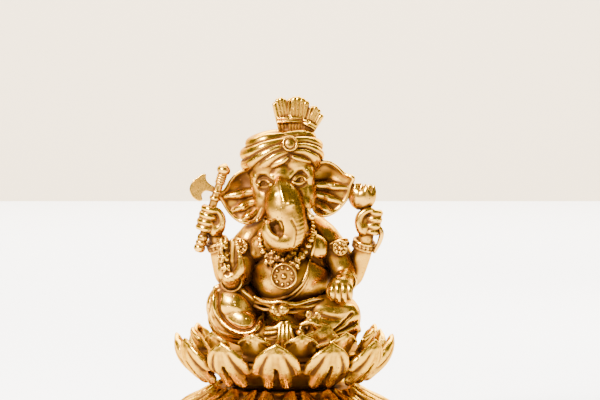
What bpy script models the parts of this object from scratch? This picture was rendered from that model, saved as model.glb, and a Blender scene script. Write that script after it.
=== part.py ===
"""A small seated elephant-headed deity on a double lotus, as an assembly of separate cast pieces.

The statuette stands on its felt pad: +Z is up, the face looks along -Y, and +X is to the viewer's right.
"Right" and "left" in the names are the figure's own sides, so right_* pieces are at -X.
All sizes below are millimetres; MM turns them into Blender's metres.
"""

import math

import bmesh
import bpy
from mathutils import Matrix, Vector

MM = 0.001
GAP = 0.35  # clearance between neighbouring castings, where glue goes

# Driving sizes of the base, from the shelf upwards.
PAD_RADIUS, PAD_TOP = 33.0, 1.0
PLINTH_RADIUS, PLINTH_TOP = 36.5, 6.0
LOWER_TOP = 20.5
BOWL_TOP = 31.0
SEAT_RADIUS, SEAT_TOP = 25.0, 33.4
SPIGOT_RADIUS, SPIGOT_HEIGHT = 10.0, 3.0
PETALS = 12
PETAL_THICKNESS = 2.0
FRONT_PETAL_TURN = -4.0  # degrees, the outer petal nearest the viewer stands a little to one side

# Driving sizes of the figure: centre and radii of each rounded mass.
CHEST = ((1.0, 2.0, 70.0), (13.5, 10.5, 10.8))
BELLY = ((2.0, -3.0, 58.2), (14.5, 13.5, 12.6))
HIPS = ((0.5, 5.0, 42.0), (18.5, 13.0, 11.0))
HEAD_CENTRE, HEAD_RADII = (-1.0, -4.0, 91.0), (11.8, 12.0, 13.0)
HEAD_ROLL = -13.0  # degrees about Y: the crown leans towards the figure's right
TURBAN_CENTRE, TURBAN_RADII = (0.0, 1.0, 8.0), (13.3, 13.3, 9.8)  # in the head's own axes
EYE_SPREAD, EYE_RADIUS = 6.0, 1.7
ARM_STATIONS = 6

GOLD = ((0.62, 0.40, 0.12), 0.32, 0.9)
PALE_GOLD = ((0.70, 0.50, 0.20), 0.36, 0.9)
DARK_FELT = ((0.05, 0.03, 0.02), 0.95, 0.0)

STATUE = bpy.data.collections.new("deity_statuette")
UNCUT = {}  # each trimmed piece's mesh before its first cut, which its neighbours seat against


# ---------------------------------------------------------------- scene and materials


def clear_scene():
    for found in list(bpy.data.objects):
        bpy.data.objects.remove(found)
    bpy.context.scene.collection.children.link(STATUE)


def material(name, look):
    colour, roughness, metallic = look
    made = bpy.data.materials.new(name)
    made.use_nodes = True
    shader = made.node_tree.nodes["Principled BSDF"]
    shader.inputs["Base Color"].default_value = (*colour, 1.0)
    shader.inputs["Roughness"].default_value = roughness
    shader.inputs["Metallic"].default_value = metallic
    return made


def piece(name, mesh, look=GOLD):
    """Puts a finished mesh, in metres, into the statue as a node with its own material."""
    made = bpy.data.objects.new(name, mesh)
    mesh.materials.clear()
    mesh.materials.append(material(name, look))
    mesh.shade_smooth()
    STATUE.objects.link(made)
    return made


def to_mesh(name, bm):
    bmesh.ops.recalc_face_normals(bm, faces=bm.faces[:])
    mesh = bpy.data.meshes.new(name)
    bm.to_mesh(mesh)
    bm.free()
    return mesh


# ---------------------------------------------------------------- shapes


def ball(name, centre, radii, turn=None, segments=16, rings=10):
    """An ellipsoid at centre, turned by a rotation matrix."""
    bm = bmesh.new()
    bmesh.ops.create_uvsphere(bm, u_segments=segments, v_segments=rings, radius=1.0)
    place = Matrix.LocRotScale(Vector(centre) * MM, turn, Vector(radii) * MM)
    bmesh.ops.transform(bm, matrix=place, verts=bm.verts[:])
    return piece(name, to_mesh(name, bm))


def drum(name, centre, radius, depth, axis, segments=16):
    """A short cylinder whose axis points along axis."""
    bm = bmesh.new()
    bmesh.ops.create_cone(
        bm, cap_ends=True, segments=segments, radius1=radius * MM, radius2=radius * MM, depth=depth * MM
    )
    turn = Vector((0, 0, 1)).rotation_difference(Vector(axis)).to_matrix()
    bmesh.ops.transform(bm, matrix=Matrix.LocRotScale(Vector(centre) * MM, turn, None), verts=bm.verts[:])
    return piece(name, to_mesh(name, bm))


def ring(name, centre, radius, wire, axis, around=16, sides=6):
    """A bangle: a torus of centreline radius and wire radius, round axis."""
    bm = bmesh.new()
    start = Matrix.Translation((radius * MM, 0, 0)) @ Matrix.Rotation(math.radians(90), 4, "X")
    loop = bmesh.ops.create_circle(bm, segments=sides, radius=wire * MM, matrix=start)
    section = loop["verts"] + list({edge for vert in loop["verts"] for edge in vert.link_edges})
    bmesh.ops.spin(
        bm, geom=section, cent=(0, 0, 0), axis=(0, 0, 1), angle=math.tau, steps=around, use_merge=True
    )
    turn = Vector((0, 0, 1)).rotation_difference(Vector(axis)).to_matrix()
    bmesh.ops.transform(bm, matrix=Matrix.LocRotScale(Vector(centre) * MM, turn, None), verts=bm.verts[:])
    return piece(name, to_mesh(name, bm))


def smooth_route(points, count):
    """count stations along a Catmull-Rom curve through points, each point being x, y, z and radius."""
    ends = [Vector(p) for p in points]
    ends = [ends[0] * 2 - ends[1], *ends, ends[-1] * 2 - ends[-2]]
    spans = len(points) - 1
    stations = []
    for step in range(count):
        along = spans * step / (count - 1)
        span = min(int(along), spans - 1)
        t = along - span
        a, b, c, d = ends[span : span + 4]
        square = 2 * a - 5 * b + 4 * c - d
        cube = 3 * b - a - 3 * c + d
        stations.append(0.5 * (2 * b + (c - a) * t + square * t**2 + cube * t**3))
    return stations


def limb(name, points, count=9, sides_level=3, look=GOLD):
    """A round bar that swells and thins along points, each x, y, z and radius."""
    curve = bpy.data.curves.new(name, "CURVE")
    curve.dimensions = "3D"
    curve.bevel_depth = MM
    curve.bevel_resolution = sides_level
    curve.use_fill_caps = True
    stations = smooth_route(points, count)
    spline = curve.splines.new("POLY")
    spline.points.add(len(stations) - 1)
    for point, station in zip(spline.points, stations):
        point.co = (*(station.xyz * MM), 1.0)
        point.radius = station.w
    guide = bpy.data.objects.new(name + "_guide", curve)
    bpy.context.scene.collection.objects.link(guide)
    graph = bpy.context.evaluated_depsgraph_get()
    tube = bpy.data.meshes.new_from_object(guide.evaluated_get(graph))
    bpy.data.objects.remove(guide)
    bm = bmesh.new()
    bm.from_mesh(tube)
    bmesh.ops.remove_doubles(bm, verts=bm.verts[:], dist=0.005 * MM)
    return piece(name, to_mesh(name, bm), look)


def plate(name, outline, y, thickness):
    """A flat plate: an outline of x, z points, thickness deep about the plane y."""
    bm = bmesh.new()
    verts = [bm.verts.new(Vector((x, y - thickness / 2, z)) * MM) for x, z in outline]
    front = bm.faces.new(verts)
    swept = bmesh.ops.extrude_face_region(bm, geom=[front])
    back = [item for item in swept["geom"] if isinstance(item, bmesh.types.BMVert)]
    bmesh.ops.translate(bm, verts=back, vec=(0, thickness * MM, 0))
    bmesh.ops.triangulate(bm, faces=bm.faces[:])
    return piece(name, to_mesh(name, bm))


def turned(name, profile, steps=36, look=GOLD):
    """A solid of revolution about Z from radius, height points that start and end on the axis."""
    bm = bmesh.new()
    verts = [bm.verts.new((radius * MM, 0, height * MM)) for radius, height in profile]
    edges = [bm.edges.new(pair) for pair in zip(verts, verts[1:])]
    bmesh.ops.spin(
        bm, geom=verts + edges, cent=(0, 0, 0), axis=(0, 0, 1), angle=math.tau, steps=steps, use_merge=True
    )
    bmesh.ops.remove_doubles(bm, verts=bm.verts[:], dist=0.005 * MM)
    return piece(name, to_mesh(name, bm), look)


# ---------------------------------------------------------------- joining and trimming


def combine(target, other, operation):
    """Applies one exact Boolean of other to target."""
    modifier = target.modifiers.new("combine", "BOOLEAN")
    modifier.operation = operation
    modifier.object = other
    modifier.use_self = True
    graph = bpy.context.evaluated_depsgraph_get()
    mesh = bpy.data.meshes.new_from_object(target.evaluated_get(graph))
    target.modifiers.clear()
    target.data = mesh


def join(target, *others):
    """Fuses others into target, as one casting, and removes them."""
    for other in others:
        combine(target, other, "UNION")
        bpy.data.objects.remove(other)
    return target


def keep_largest(target):
    """Drops the crumbs that a cut can leave behind."""
    bm = bmesh.new()
    bm.from_mesh(target.data)
    waiting, islands = set(bm.verts), []
    while waiting:
        stack, island = [waiting.pop()], set()
        while stack:
            vert = stack.pop()
            island.add(vert)
            for edge in vert.link_edges:
                other = edge.other_vert(vert)
                if other in waiting:
                    waiting.remove(other)
                    stack.append(other)
        islands.append(island)
    largest = max(islands, key=len)
    crumbs = [vert for island in islands if island is not largest for vert in island]
    bmesh.ops.delete(bm, geom=crumbs, context="VERTS")
    bm.to_mesh(target.data)
    bm.free()


def seat_against(target, *neighbours):
    """Cuts target back so that a glue gap is left to each neighbour."""
    UNCUT.setdefault(target.name, target.data.copy())
    for neighbour in neighbours:
        bm = bmesh.new()
        bm.from_mesh(UNCUT.get(neighbour.name, neighbour.data))
        bm.normal_update()
        moves = {vert: vert.normal * GAP * MM * max(1.0, vert.calc_shell_factor()) for vert in bm.verts}
        for vert, move in moves.items():
            vert.co += move
        mesh = bpy.data.meshes.new("grown")
        bm.to_mesh(mesh)
        bm.free()
        cutter = bpy.data.objects.new("grown", mesh)
        bpy.context.scene.collection.objects.link(cutter)
        combine(target, cutter, "DIFFERENCE")
        bpy.data.objects.remove(cutter)
    keep_largest(target)


def cut_half_space(target, point, normal):
    """Removes what lies on the normal's side of the plane through point."""
    bm = bmesh.new()
    bm.from_mesh(target.data)
    cut = bmesh.ops.bisect_plane(
        bm,
        geom=bm.verts[:] + bm.edges[:] + bm.faces[:],
        plane_co=Vector(point) * MM,
        plane_no=normal,
        clear_outer=True,
    )
    rim = [item for item in cut["geom_cut"] if isinstance(item, bmesh.types.BMEdge)]
    bmesh.ops.holes_fill(bm, edges=rim)
    bmesh.ops.triangulate(bm, faces=bm.faces[:])
    bmesh.ops.recalc_face_normals(bm, faces=bm.faces[:])
    bm.to_mesh(target.data)
    bm.free()


# ---------------------------------------------------------------- the double lotus


def petal(name, midrib, half_widths, cup, turn):
    """One leaf-shaped petal: midrib is radius, height points from root to tip, turned about Z."""
    rows, columns = len(midrib), 3
    bm = bmesh.new()
    bmesh.ops.create_grid(bm, x_segments=columns - 1, y_segments=rows - 1, size=1.0)
    for vert in bm.verts:
        across, row = vert.co.x, round((vert.co.y + 1) / 2 * (rows - 1))
        radius, height = midrib[row]
        sideways = across * half_widths[row]
        inward = cup * half_widths[row] * across**2
        vert.co = Vector((sideways, -(radius - inward), height)) * MM
    bmesh.ops.remove_doubles(bm, verts=bm.verts[:], dist=0.05 * MM)
    bmesh.ops.recalc_face_normals(bm, faces=bm.faces[:])
    bmesh.ops.solidify(bm, geom=bm.faces[:], thickness=PETAL_THICKNESS * MM)
    bmesh.ops.rotate(
        bm, verts=bm.verts[:], cent=(0, 0, 0), matrix=Matrix.Rotation(math.radians(turn), 3, "Z")
    )
    return piece(name, to_mesh(name, bm))


def petal_ring(core, midrib, half_widths, cup, first_turn):
    """Fuses a ring of petals onto a turned core, which makes one casting."""
    for number in range(PETALS):
        turn = first_turn + number * 360 / PETALS
        join(core, petal("petal", midrib, half_widths, cup, turn))
    return core


def build_base():
    turned("base_pad", [(0, 0), (PAD_RADIUS, 0), (PAD_RADIUS, PAD_TOP), (0, PAD_TOP)], look=DARK_FELT)
    bottom = PAD_TOP + GAP
    turned(
        "plinth",
        [
            (0, bottom),
            (PLINTH_RADIUS - 1.0, bottom),
            (PLINTH_RADIUS, bottom + 1.2),
            (PLINTH_RADIUS, PLINTH_TOP - 2.2),
            (PLINTH_RADIUS - 1.5, PLINTH_TOP),
            (SPIGOT_RADIUS, PLINTH_TOP),
            (SPIGOT_RADIUS, PLINTH_TOP + SPIGOT_HEIGHT),
            (0, PLINTH_TOP + SPIGOT_HEIGHT),
        ],
    )
    lower = turned("lower_lotus", lotus_core(PLINTH_TOP + GAP, LOWER_TOP, 31.0, 23.0, spigot=True))
    petal_ring(
        lower,
        [(21.0, 18.5), (29.0, 17.8), (34.5, 14.8), (38.0, 11.4), (40.8, 8.6)],
        [5.0, 7.4, 8.4, 6.0, 0.0],
        -0.16,
        FRONT_PETAL_TURN + 180 / PETALS,
    )
    upper = turned("upper_lotus", lotus_core(LOWER_TOP + GAP, BOWL_TOP, 22.5, 27.0, spigot=False))
    petal_ring(
        upper,
        [(21.0, 22.6), (29.5, 24.2), (33.2, 28.0), (35.4, 33.0), (36.9, 39.0)],
        [4.6, 6.6, 7.7, 6.0, 0.0],
        0.16,
        FRONT_PETAL_TURN,
    )
    inner = turned(
        "inner_petal_ring",
        [(25.6, BOWL_TOP + GAP), (29.6, BOWL_TOP + GAP), (29.6, 33.2), (25.6, 33.2), (25.6, BOWL_TOP + GAP)],
    )
    petal_ring(
        inner,
        [(28.4, 32.2), (29.6, 33.4), (30.9, 35.2), (31.8, 37.3), (32.3, 40.2)],
        [5.2, 6.0, 6.0, 4.4, 0.0],
        0.14,
        FRONT_PETAL_TURN + 180 / PETALS,
    )
    seat_against(inner, upper)
    turned(
        "lotus_seat",
        [
            (0, BOWL_TOP + GAP),
            (SEAT_RADIUS - 0.6, BOWL_TOP + GAP),
            (SEAT_RADIUS, BOWL_TOP + 1.1),
            (SEAT_RADIUS - 0.6, SEAT_TOP),
            (0, SEAT_TOP),
        ],
    )


def lotus_core(bottom, top, bottom_radius, top_radius, spigot):
    """Profile of a lotus core with a socket below and, if asked, a locating spigot on top."""
    socket = SPIGOT_RADIUS + GAP
    roof = bottom + SPIGOT_HEIGHT + GAP
    points = [(0, roof), (socket, roof), (socket, bottom), (bottom_radius, bottom), (top_radius, top)]
    if spigot:
        points += [(SPIGOT_RADIUS, top), (SPIGOT_RADIUS, top + SPIGOT_HEIGHT), (0, top + SPIGOT_HEIGHT)]
    else:
        points += [(0, top)]
    return points


# ---------------------------------------------------------------- the figure


def head_point(x, y, z):
    """A point given in the head's own axes, in the statue's frame."""
    return Vector(HEAD_CENTRE) + head_turn() @ Vector((x, y, z))


def head_turn():
    return Matrix.Rotation(math.radians(HEAD_ROLL), 3, "Y")


def front_of(x, z, lift):
    """A point lift millimetres off the chest or the belly, whichever stands further forward at x, z."""
    found = []
    for (cx, cy, cz), (rx, ry, rz) in (CHEST, BELLY):
        inside = 1 - ((x - cx) / rx) ** 2 - ((z - cz) / rz) ** 2
        if inside > 0:
            y = cy - ry * math.sqrt(inside)
            outward = Vector(((x - cx) / rx**2, (y - cy) / ry**2, (z - cz) / rz**2)).normalized()
            found.append((y, Vector((x, y, z)) + outward * lift))
    return min(found, key=lambda item: item[0])[1]


def build_torso():
    torso = ball("torso", *CHEST, segments=16, rings=11)
    join(torso, ball("belly", *BELLY, segments=16, rings=11))
    hips = ball("hips", *HIPS)
    cut_half_space(hips, (0, 0, SEAT_TOP + GAP), (0, 0, -1))
    return torso, hips


def build_legs():
    """Crossed legs in a wrapped dhoti: the right knee stands higher than the left."""
    right = limb(
        "right_leg",
        [
            (-6, 6, 44, 7.5),
            (-13, 0, 46, 9.0),
            (-17.5, -5, 46, 9.0),
            (-13, -10.5, 42, 7.0),
            (-5, -13.5, 39, 4.6),
        ],
        count=10,
    )
    left = limb(
        "left_leg",
        [
            (8, 6, 41, 6.5),
            (14, 1, 41.5, 7.2),
            (17.8, -5, 41.8, 6.8),
            (12, -11, 40.5, 5.4),
            (4, -13.8, 39, 4.4),
        ],
        count=10,
    )
    for leg in (right, left):
        cut_half_space(leg, (0, 0, SEAT_TOP + GAP), (0, 0, -1))
    right_foot = ball("right_foot", (6.6, -18.0, 36.2), (4.6, 2.6, 2.2), segments=12, rings=8)
    left_foot = ball("left_foot", (-6.6, -18.2, 36.6), (4.8, 2.7, 2.3), segments=12, rings=8)
    return right, left, right_foot, left_foot


def build_head():
    head = ball("head", HEAD_CENTRE, HEAD_RADII, head_turn(), rings=12)
    eyes = [
        ball(name, head_point(side * EYE_SPREAD, -9.6, 1.0), [EYE_RADIUS] * 3, segments=10, rings=6)
        for name, side in (("right_eye", -1), ("left_eye", 1))
    ]
    trunk = limb(
        "trunk",
        [
            (-1.0, -11.0, 92.0, 4.6),
            (-0.4, -13.0, 87.0, 6.0),
            (0.1, -14.6, 83.2, 6.3),
            (2.3, -16.2, 78.4, 4.9),
            (3.6, -17.4, 73.8, 3.6),
            (2.6, -18.2, 71.2, 3.2),
            (0.0, -18.8, 70.4, 3.0),
            (-3.0, -18.8, 71.2, 2.7),
            (-4.8, -18.2, 73.6, 2.4),
            (-5.4, -17.4, 77.0, 2.0),
        ],
        count=18,
    )
    tusk_route = [(-6.5, -12, 82, 1.5), (-7.6, -15, 80, 1.3), (-8.2, -17.5, 78.6, 0.6)]
    tusk = limb("right_tusk", tusk_route, 5, 2, PALE_GOLD)
    stub = limb("left_tusk_stub", [(6.6, -12, 82, 1.7), (7.6, -15.8, 80.6, 1.6)], 3, 2, PALE_GOLD)
    right_ear = plate(
        "right_ear",
        [(-10.8, 94.6), (-15.3, 93.2), (-18.4, 90.3), (-21.4, 85.8), (-19.4, 83.4), (-17.5, 80.0),
         (-14.8, 77.6), (-11.4, 76.8), (-8.8, 79.0), (-9.4, 87.0)],
        -4.0,
        2.2,
    )
    left_ear = plate(
        "left_ear",
        [(10.2, 94.0), (11.4, 96.4), (14.3, 97.0), (18.0, 94.9), (20.7, 92.2), (23.4, 91.5), (22.0, 88.8),
         (21.4, 85.3), (19.4, 82.0), (15.6, 79.4), (12.6, 78.8), (9.4, 81.0), (9.4, 88.0)],
        -4.0,
        2.2,
    )
    for eye in eyes:
        seat_against(head, eye)
    for part in (trunk, tusk, stub, right_ear, left_ear):
        seat_against(part, head)
    seat_against(tusk, trunk)
    seat_against(stub, trunk)
    return head, trunk, right_ear, left_ear


def build_turban(head, right_ear, left_ear):
    """The wound turban, its round brooch and the pleated cloth fan that stands out of it."""
    turban = ball("turban", head_point(*TURBAN_CENTRE), TURBAN_RADII, head_turn())
    brow_line = head_turn() @ Vector((0, -0.42, -0.9))
    cut_half_space(turban, head_point(0, -12, 8.4), brow_line)
    seat_against(turban, head)
    brooch = drum("turban_brooch", (2.0, -15.2, 103.4), 2.7, 2.2, (0.0, -0.88, 0.47))
    fan = plate(
        "turban_fan",
        [(1.4, 104.4), (-1.6, 108.6), (-4.1, 112.5), (-3.7, 117.4), (0.3, 118.3), (4.1, 118.7), (7.5, 118.0),
         (9.5, 115.4), (12.9, 115.9), (13.9, 113.4), (10.5, 108.1), (7.8, 104.4)],
        -2.5,
        4.2,
    )
    for part in (brooch, fan, right_ear, left_ear):
        seat_against(part, turban)
    return turban


def build_rear_arms():
    """The two raised arms: the right one holds an axe and the left one a lotus bud."""
    right_upper = [(-9, 5, 73, 4.8), (-15, 5.5, 66, 4.6), (-19, 4.5, 58.5, 4.1)]
    right_fore = [(-19.2, 1.0, 56.4, 4.2), (-21, -1.5, 64, 3.5), (-23.2, -3.2, 72.8, 2.7)]
    left_upper = [(10, 5, 74, 4.9), (17, 5.5, 67, 4.6), (22.4, 4.5, 59, 4.0)]
    left_fore = [(23.4, 1.2, 56.6, 4.1), (25.6, -0.5, 64, 3.4), (27.4, -2.2, 72.8, 2.7)]
    right = (
        limb("right_rear_upper_arm", right_upper, ARM_STATIONS),
        limb("right_rear_forearm", right_fore, ARM_STATIONS),
        ball("right_rear_hand", (-25.2, -4.6, 76.4), (4.3, 3.9, 4.7), segments=14, rings=9),
    )
    left = (
        limb("left_rear_upper_arm", left_upper, ARM_STATIONS),
        limb("left_rear_forearm", left_fore, ARM_STATIONS),
        ball("left_rear_hand", (27.8, -3.2, 76.2), (4.5, 4.0, 4.6), segments=14, rings=9),
    )
    return right, left


def build_front_arms():
    """The blessing right arm, palm forward, and the left arm whose hand rests on the knee."""
    right_upper = [(-8, -1, 74, 4.6), (-12, -3, 67, 4.6), (-13.6, -3.6, 60, 4.0)]
    right_fore = [(-14.6, -5.6, 57.0, 3.9), (-16.6, -9.6, 56.6, 3.4), (-17.8, -13.6, 57.4, 2.7)]
    left_upper = [(11, 0, 74, 4.9), (16.5, -2, 67, 4.6), (19.6, -2.6, 60.6, 4.0)]
    left_fore = [(20.4, -4.4, 57.6, 3.9), (20.9, -7, 57, 3.1), (20.7, -9.4, 56.4, 2.8)]
    right = (
        limb("right_front_upper_arm", right_upper, ARM_STATIONS),
        limb("right_front_forearm", right_fore, ARM_STATIONS),
        ball("right_front_hand", (-18.0, -15.8, 64.0), (4.2, 2.2, 7.4), segments=14, rings=10),
    )
    left = (
        limb("left_front_upper_arm", left_upper, ARM_STATIONS),
        limb("left_front_forearm", left_fore, ARM_STATIONS),
        ball("left_front_hand", (19.9, -11.6, 54.8), (4.5, 4.4, 4.8), segments=14, rings=9),
    )
    return right, left


def build_arms(torso, hips, right_leg, left_leg):
    (rru, rrf, rrh), (lru, lrf, lrh) = build_rear_arms()
    (rfu, rff, rfh), (lfu, lff, lfh) = build_front_arms()
    seat_against(rfu, torso)
    seat_against(lfu, torso)
    seat_against(rru, torso, rfu)
    seat_against(lru, torso, lfu)
    seat_against(rrf, rru, torso, rfu)
    seat_against(lrf, lru, torso, lfu)
    seat_against(rff, rfu, torso, rrf)
    seat_against(lff, lfu, torso, lrf)
    seat_against(rrh, rrf)
    seat_against(lrh, lrf)
    seat_against(rfh, rff, torso)
    seat_against(lfh, lff, torso, left_leg)
    for forearm in (rrf, rff):
        seat_against(forearm, hips, right_leg)
    for forearm in (lrf, lff):
        seat_against(forearm, hips, left_leg)
    return rrh, lrh, rfu, lfu, rru, lru


def build_held_things(right_hand, left_hand):
    shaft_route = [(-29.2, -6.6, 66.1, 1.7), (-25.0, -6.6, 80.6, 1.5), (-20.7, -6.6, 95.5, 1.7)]
    shaft = limb("axe_shaft", shaft_route, 5, 2)
    seat_against(right_hand, shaft)
    blade = plate(
        "axe_blade",
        [(-24.4, 88.8), (-26.4, 91.2), (-26.9, 92.9), (-29.4, 92.2), (-31.4, 89.6), (-31.8, 86.8),
         (-30.2, 84.4), (-28.7, 83.9), (-27.4, 85.8), (-24.6, 85.2)],
        -6.6,
        1.1,
    )
    seat_against(blade, shaft)
    bud = ball("lotus_bud", (26.4, -3.4, 84.9), (4.4, 4.4, 4.3), segments=14, rings=10)
    seat_against(bud, left_hand)


def build_bangles(torso, rfu, lfu, rru, lru):
    """Bracelets at the wrists and armlets on the front upper arms."""
    wrists = {
        "right_rear_bracelet": ((-22.2, -2.5, 68.2), 3.0, (-0.27, -0.22, 0.94)),
        "left_rear_bracelet": ((26.8, -1.6, 68.0), 3.0, (0.26, -0.22, 0.94)),
        "right_front_bracelet": ((-17.4, -12.0, 57.1), 2.9, (-0.27, -0.94, 0.18)),
        "left_front_bracelet": ((20.9, -7.2, 57.0), 3.1, (0, -0.97, -0.22)),
    }
    for name, (centre, arm, axis) in wrists.items():
        ring(name, centre, arm + GAP + 0.75, 0.7, axis)
    for name, centre, axis, arm, rear_arm in (
        ("right_armlet", (-11.8, -3.0, 67.4), (-0.42, -0.16, -0.9), rfu, rru),
        ("left_armlet", (16.5, -2.0, 67.0), (0.6, -0.2, -0.78), lfu, lru),
    ):
        armlet = ring(name, centre, 5.4, 1.1, axis)
        seat_against(armlet, arm, rear_arm, torso)


def build_regalia(torso, right_leg, left_leg, right_arm, left_arm):
    """What lies on the body: the bead strand, pendant, sacred thread, sash, its knot and its ends."""
    strand = [
        (-5.0, 77.4), (-6.4, 74.0), (-6.8, 70.4), (-5.2, 67.4), (-1.6, 65.6),
        (3.6, 65.6), (7.2, 67.6), (8.8, 71.2), (8.2, 75.0), (7.2, 77.4),
    ]
    beads = limb("bead_strand", [(*front_of(x, z, 1.5), 0.9) for x, z in strand], count=16, sides_level=1)
    drum("pendant", front_of(0.2, 59.2, 1.7), 4.4, 1.6, (-0.12, -0.99, 0.02), segments=18)
    thread = [(10.8, 73.4), (10.4, 68.4), (9.2, 61.6), (6.0, 54.6), (0.6, 50.8), (-6.0, 50.0)]
    cord = limb("sacred_thread", [(*front_of(x, z, 1.1), 0.6) for x, z in thread], count=14, sides_level=1)
    seat_against(cord, torso, left_arm)
    seat_against(beads, torso, right_arm)
    sash = [(-9.0, 48.2), (-4.0, 47.2), (2.0, 47.2), (8.0, 48.2), (12.0, 49.4)]
    sash_front = -17.6
    route = [(x, sash_front + abs(x - 1.5) * 0.32, z, 1.3) for x, z in sash]
    band = limb("waist_sash", route, sides_level=1)
    seat_against(band, torso, right_leg, left_leg)
    knot = ball("sash_knot", (-1.4, -19.8, 46.9), (3.4, 2.0, 2.3), segments=12, rings=8)
    seat_against(knot, band)
    ends_route = [(-0.6, -20.0, 43.2, 1.6), (0.4, -20.2, 39.6, 2.2), (0.6, -20.4, 35.8, 2.4)]
    ends = limb("sash_ends", ends_route, 5, 2)
    seat_against(ends, knot, right_leg, left_leg)
    cut_half_space(ends, (0, 0, SEAT_TOP + GAP), (0, 0, -1))
    return ends


def build_mouse(left_leg):
    """The mouse that sits against the left shin, with a sweet in its paws."""
    mouse = ball("mouse", (12.6, -19.6, 40.0), (5.2, 3.0, 4.8), segments=14, rings=9)
    join(mouse, ball("mouse_head", (8.4, -20.6, 44.8), (3.2, 2.3, 2.6), segments=12, rings=8))
    seat_against(mouse, left_leg)
    sweet = ball("modak", (5.6, -22.2, 41.0), (1.5, 1.5, 1.7), segments=10, rings=7)
    return mouse, sweet


def build_statue():
    clear_scene()
    build_base()
    torso, hips = build_torso()
    right_leg, left_leg, right_foot, left_foot = build_legs()
    head, trunk, right_ear, left_ear = build_head()
    build_turban(head, right_ear, left_ear)
    seat_against(torso, head)
    seat_against(hips, torso)
    seat_against(right_leg, torso, hips)
    seat_against(left_leg, torso, hips, right_leg)
    right_hand, left_hand, *upper_arms = build_arms(torso, hips, right_leg, left_leg)
    build_held_things(right_hand, left_hand)
    build_bangles(torso, *upper_arms)
    ends = build_regalia(torso, right_leg, left_leg, *upper_arms[:2])
    mouse, sweet = build_mouse(left_leg)
    seat_against(right_foot, left_leg, right_leg, mouse, ends)
    seat_against(left_foot, left_leg, right_leg, ends)
    seat_against(sweet, mouse, ends, right_foot)


build_statue()
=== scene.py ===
# %% [markdown]
# # A small elephant-headed deity in antique gold
#
# The statuette is a casting that was painted gold and then rubbed with a thin brown wash. The wash stays in
# every hollow and the high places are wiped clean, and that contrast is what makes such small relief
# readable.
#
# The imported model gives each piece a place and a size. Here each plain solid is replaced by a sculpted one.
# It is built the way a modeller works in clay: lumps are pressed together, smoothed, and then creased and
# beaded.

import math

import bmesh
import bpy
import numpy as np
from mathutils import Matrix, Vector
from mathutils.bvhtree import BVHTree


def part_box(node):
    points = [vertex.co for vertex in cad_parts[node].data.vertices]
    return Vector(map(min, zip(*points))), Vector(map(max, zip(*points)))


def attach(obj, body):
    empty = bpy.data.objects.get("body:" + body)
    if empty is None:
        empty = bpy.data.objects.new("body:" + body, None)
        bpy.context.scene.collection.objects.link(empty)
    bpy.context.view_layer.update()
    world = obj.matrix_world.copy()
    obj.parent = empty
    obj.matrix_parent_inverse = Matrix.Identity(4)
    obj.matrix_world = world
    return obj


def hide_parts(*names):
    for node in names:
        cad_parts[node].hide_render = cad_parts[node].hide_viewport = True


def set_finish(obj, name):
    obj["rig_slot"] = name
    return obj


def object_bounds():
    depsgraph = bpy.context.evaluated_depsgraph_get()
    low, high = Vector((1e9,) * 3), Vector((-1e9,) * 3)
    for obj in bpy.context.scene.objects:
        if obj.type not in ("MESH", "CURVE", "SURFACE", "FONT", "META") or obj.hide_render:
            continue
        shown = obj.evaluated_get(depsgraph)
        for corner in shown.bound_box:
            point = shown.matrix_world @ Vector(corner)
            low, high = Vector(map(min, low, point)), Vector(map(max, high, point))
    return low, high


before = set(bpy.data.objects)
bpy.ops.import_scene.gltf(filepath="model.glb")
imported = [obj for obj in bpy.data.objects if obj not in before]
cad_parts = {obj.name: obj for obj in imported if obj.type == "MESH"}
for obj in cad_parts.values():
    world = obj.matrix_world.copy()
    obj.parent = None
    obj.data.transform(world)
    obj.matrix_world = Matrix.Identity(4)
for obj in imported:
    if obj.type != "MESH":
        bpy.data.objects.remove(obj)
cad_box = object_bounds()
MM = 0.001
print("the model is", [round((b - a) / MM, 1) for a, b in zip(*cad_box)], "mm")

# %% [markdown]
# ## Where things are
#
# Every measure below is in millimetres, in the model's own axes: +X to the viewer's right, -Y towards the
# viewer and +Z up. Most places start from the box of the solid that a piece stands for, or from the middle
# of the underside of the base. The offsets from there are the sculptor's, judged one by one.

# %% Places, read from the frame

box_low, box_high = cad_box
FOOT = Vector(((box_low[0] + box_high[0]) / 2, (box_low[1] + box_high[1]) / 2, box_low[2])) / MM


def corners(node):
    lo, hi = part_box(node)
    return lo / MM, hi / MM


def middle(node):
    lo, hi = corners(node)
    return (lo + hi) / 2


def half_size(node):
    lo, hi = corners(node)
    return (hi - lo) / 2


def near(node, x, y, z):
    """A point x, y, z millimetres from the middle of a node."""
    return middle(node) + Vector((x, y, z))


def at(x, y, z):
    """A point from the middle of the underside of the base."""
    return FOOT + Vector((x, y, z))


def spots(base, *points):
    """A limb's points, each x, y, z from a base and a radius."""
    return [(*(base + Vector(p[:3])), p[3]) for p in points]


def pointing(direction, place):
    """A placement that turns +Z to a direction and then moves to a place."""
    return Matrix.Translation(place) @ Vector((0, 0, 1)).rotation_difference(direction).to_matrix().to_4x4()


# %% [markdown]
# ## Clay
#
# A sculpted casting has no hard joins: a cheek runs into a trunk and a finger into a palm. So the lumps of
# one piece are closed balls and tapered bones that overlap, and a voxel remesh fuses them into one even
# skin. A few passes of smoothing then soften the joins, in the way that a thumb does.

# %% Reading, writing and smoothing a mesh


def read(mesh, what):
    values = np.empty(len(mesh.vertices) * 3)
    source = mesh.vertices if what == "co" else mesh.vertex_normals
    source.foreach_get("co" if what == "co" else "vector", values)
    return values.reshape(-1, 3)


def write(mesh, places):
    mesh.vertices.foreach_set("co", places.ravel())
    mesh.update()


def triangles(mesh):
    mesh.calc_loop_triangles()
    faces = np.empty(len(mesh.loop_triangles) * 3, dtype=np.int64)
    mesh.loop_triangles.foreach_get("vertices", faces)
    return faces.reshape(-1, 3)


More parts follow.
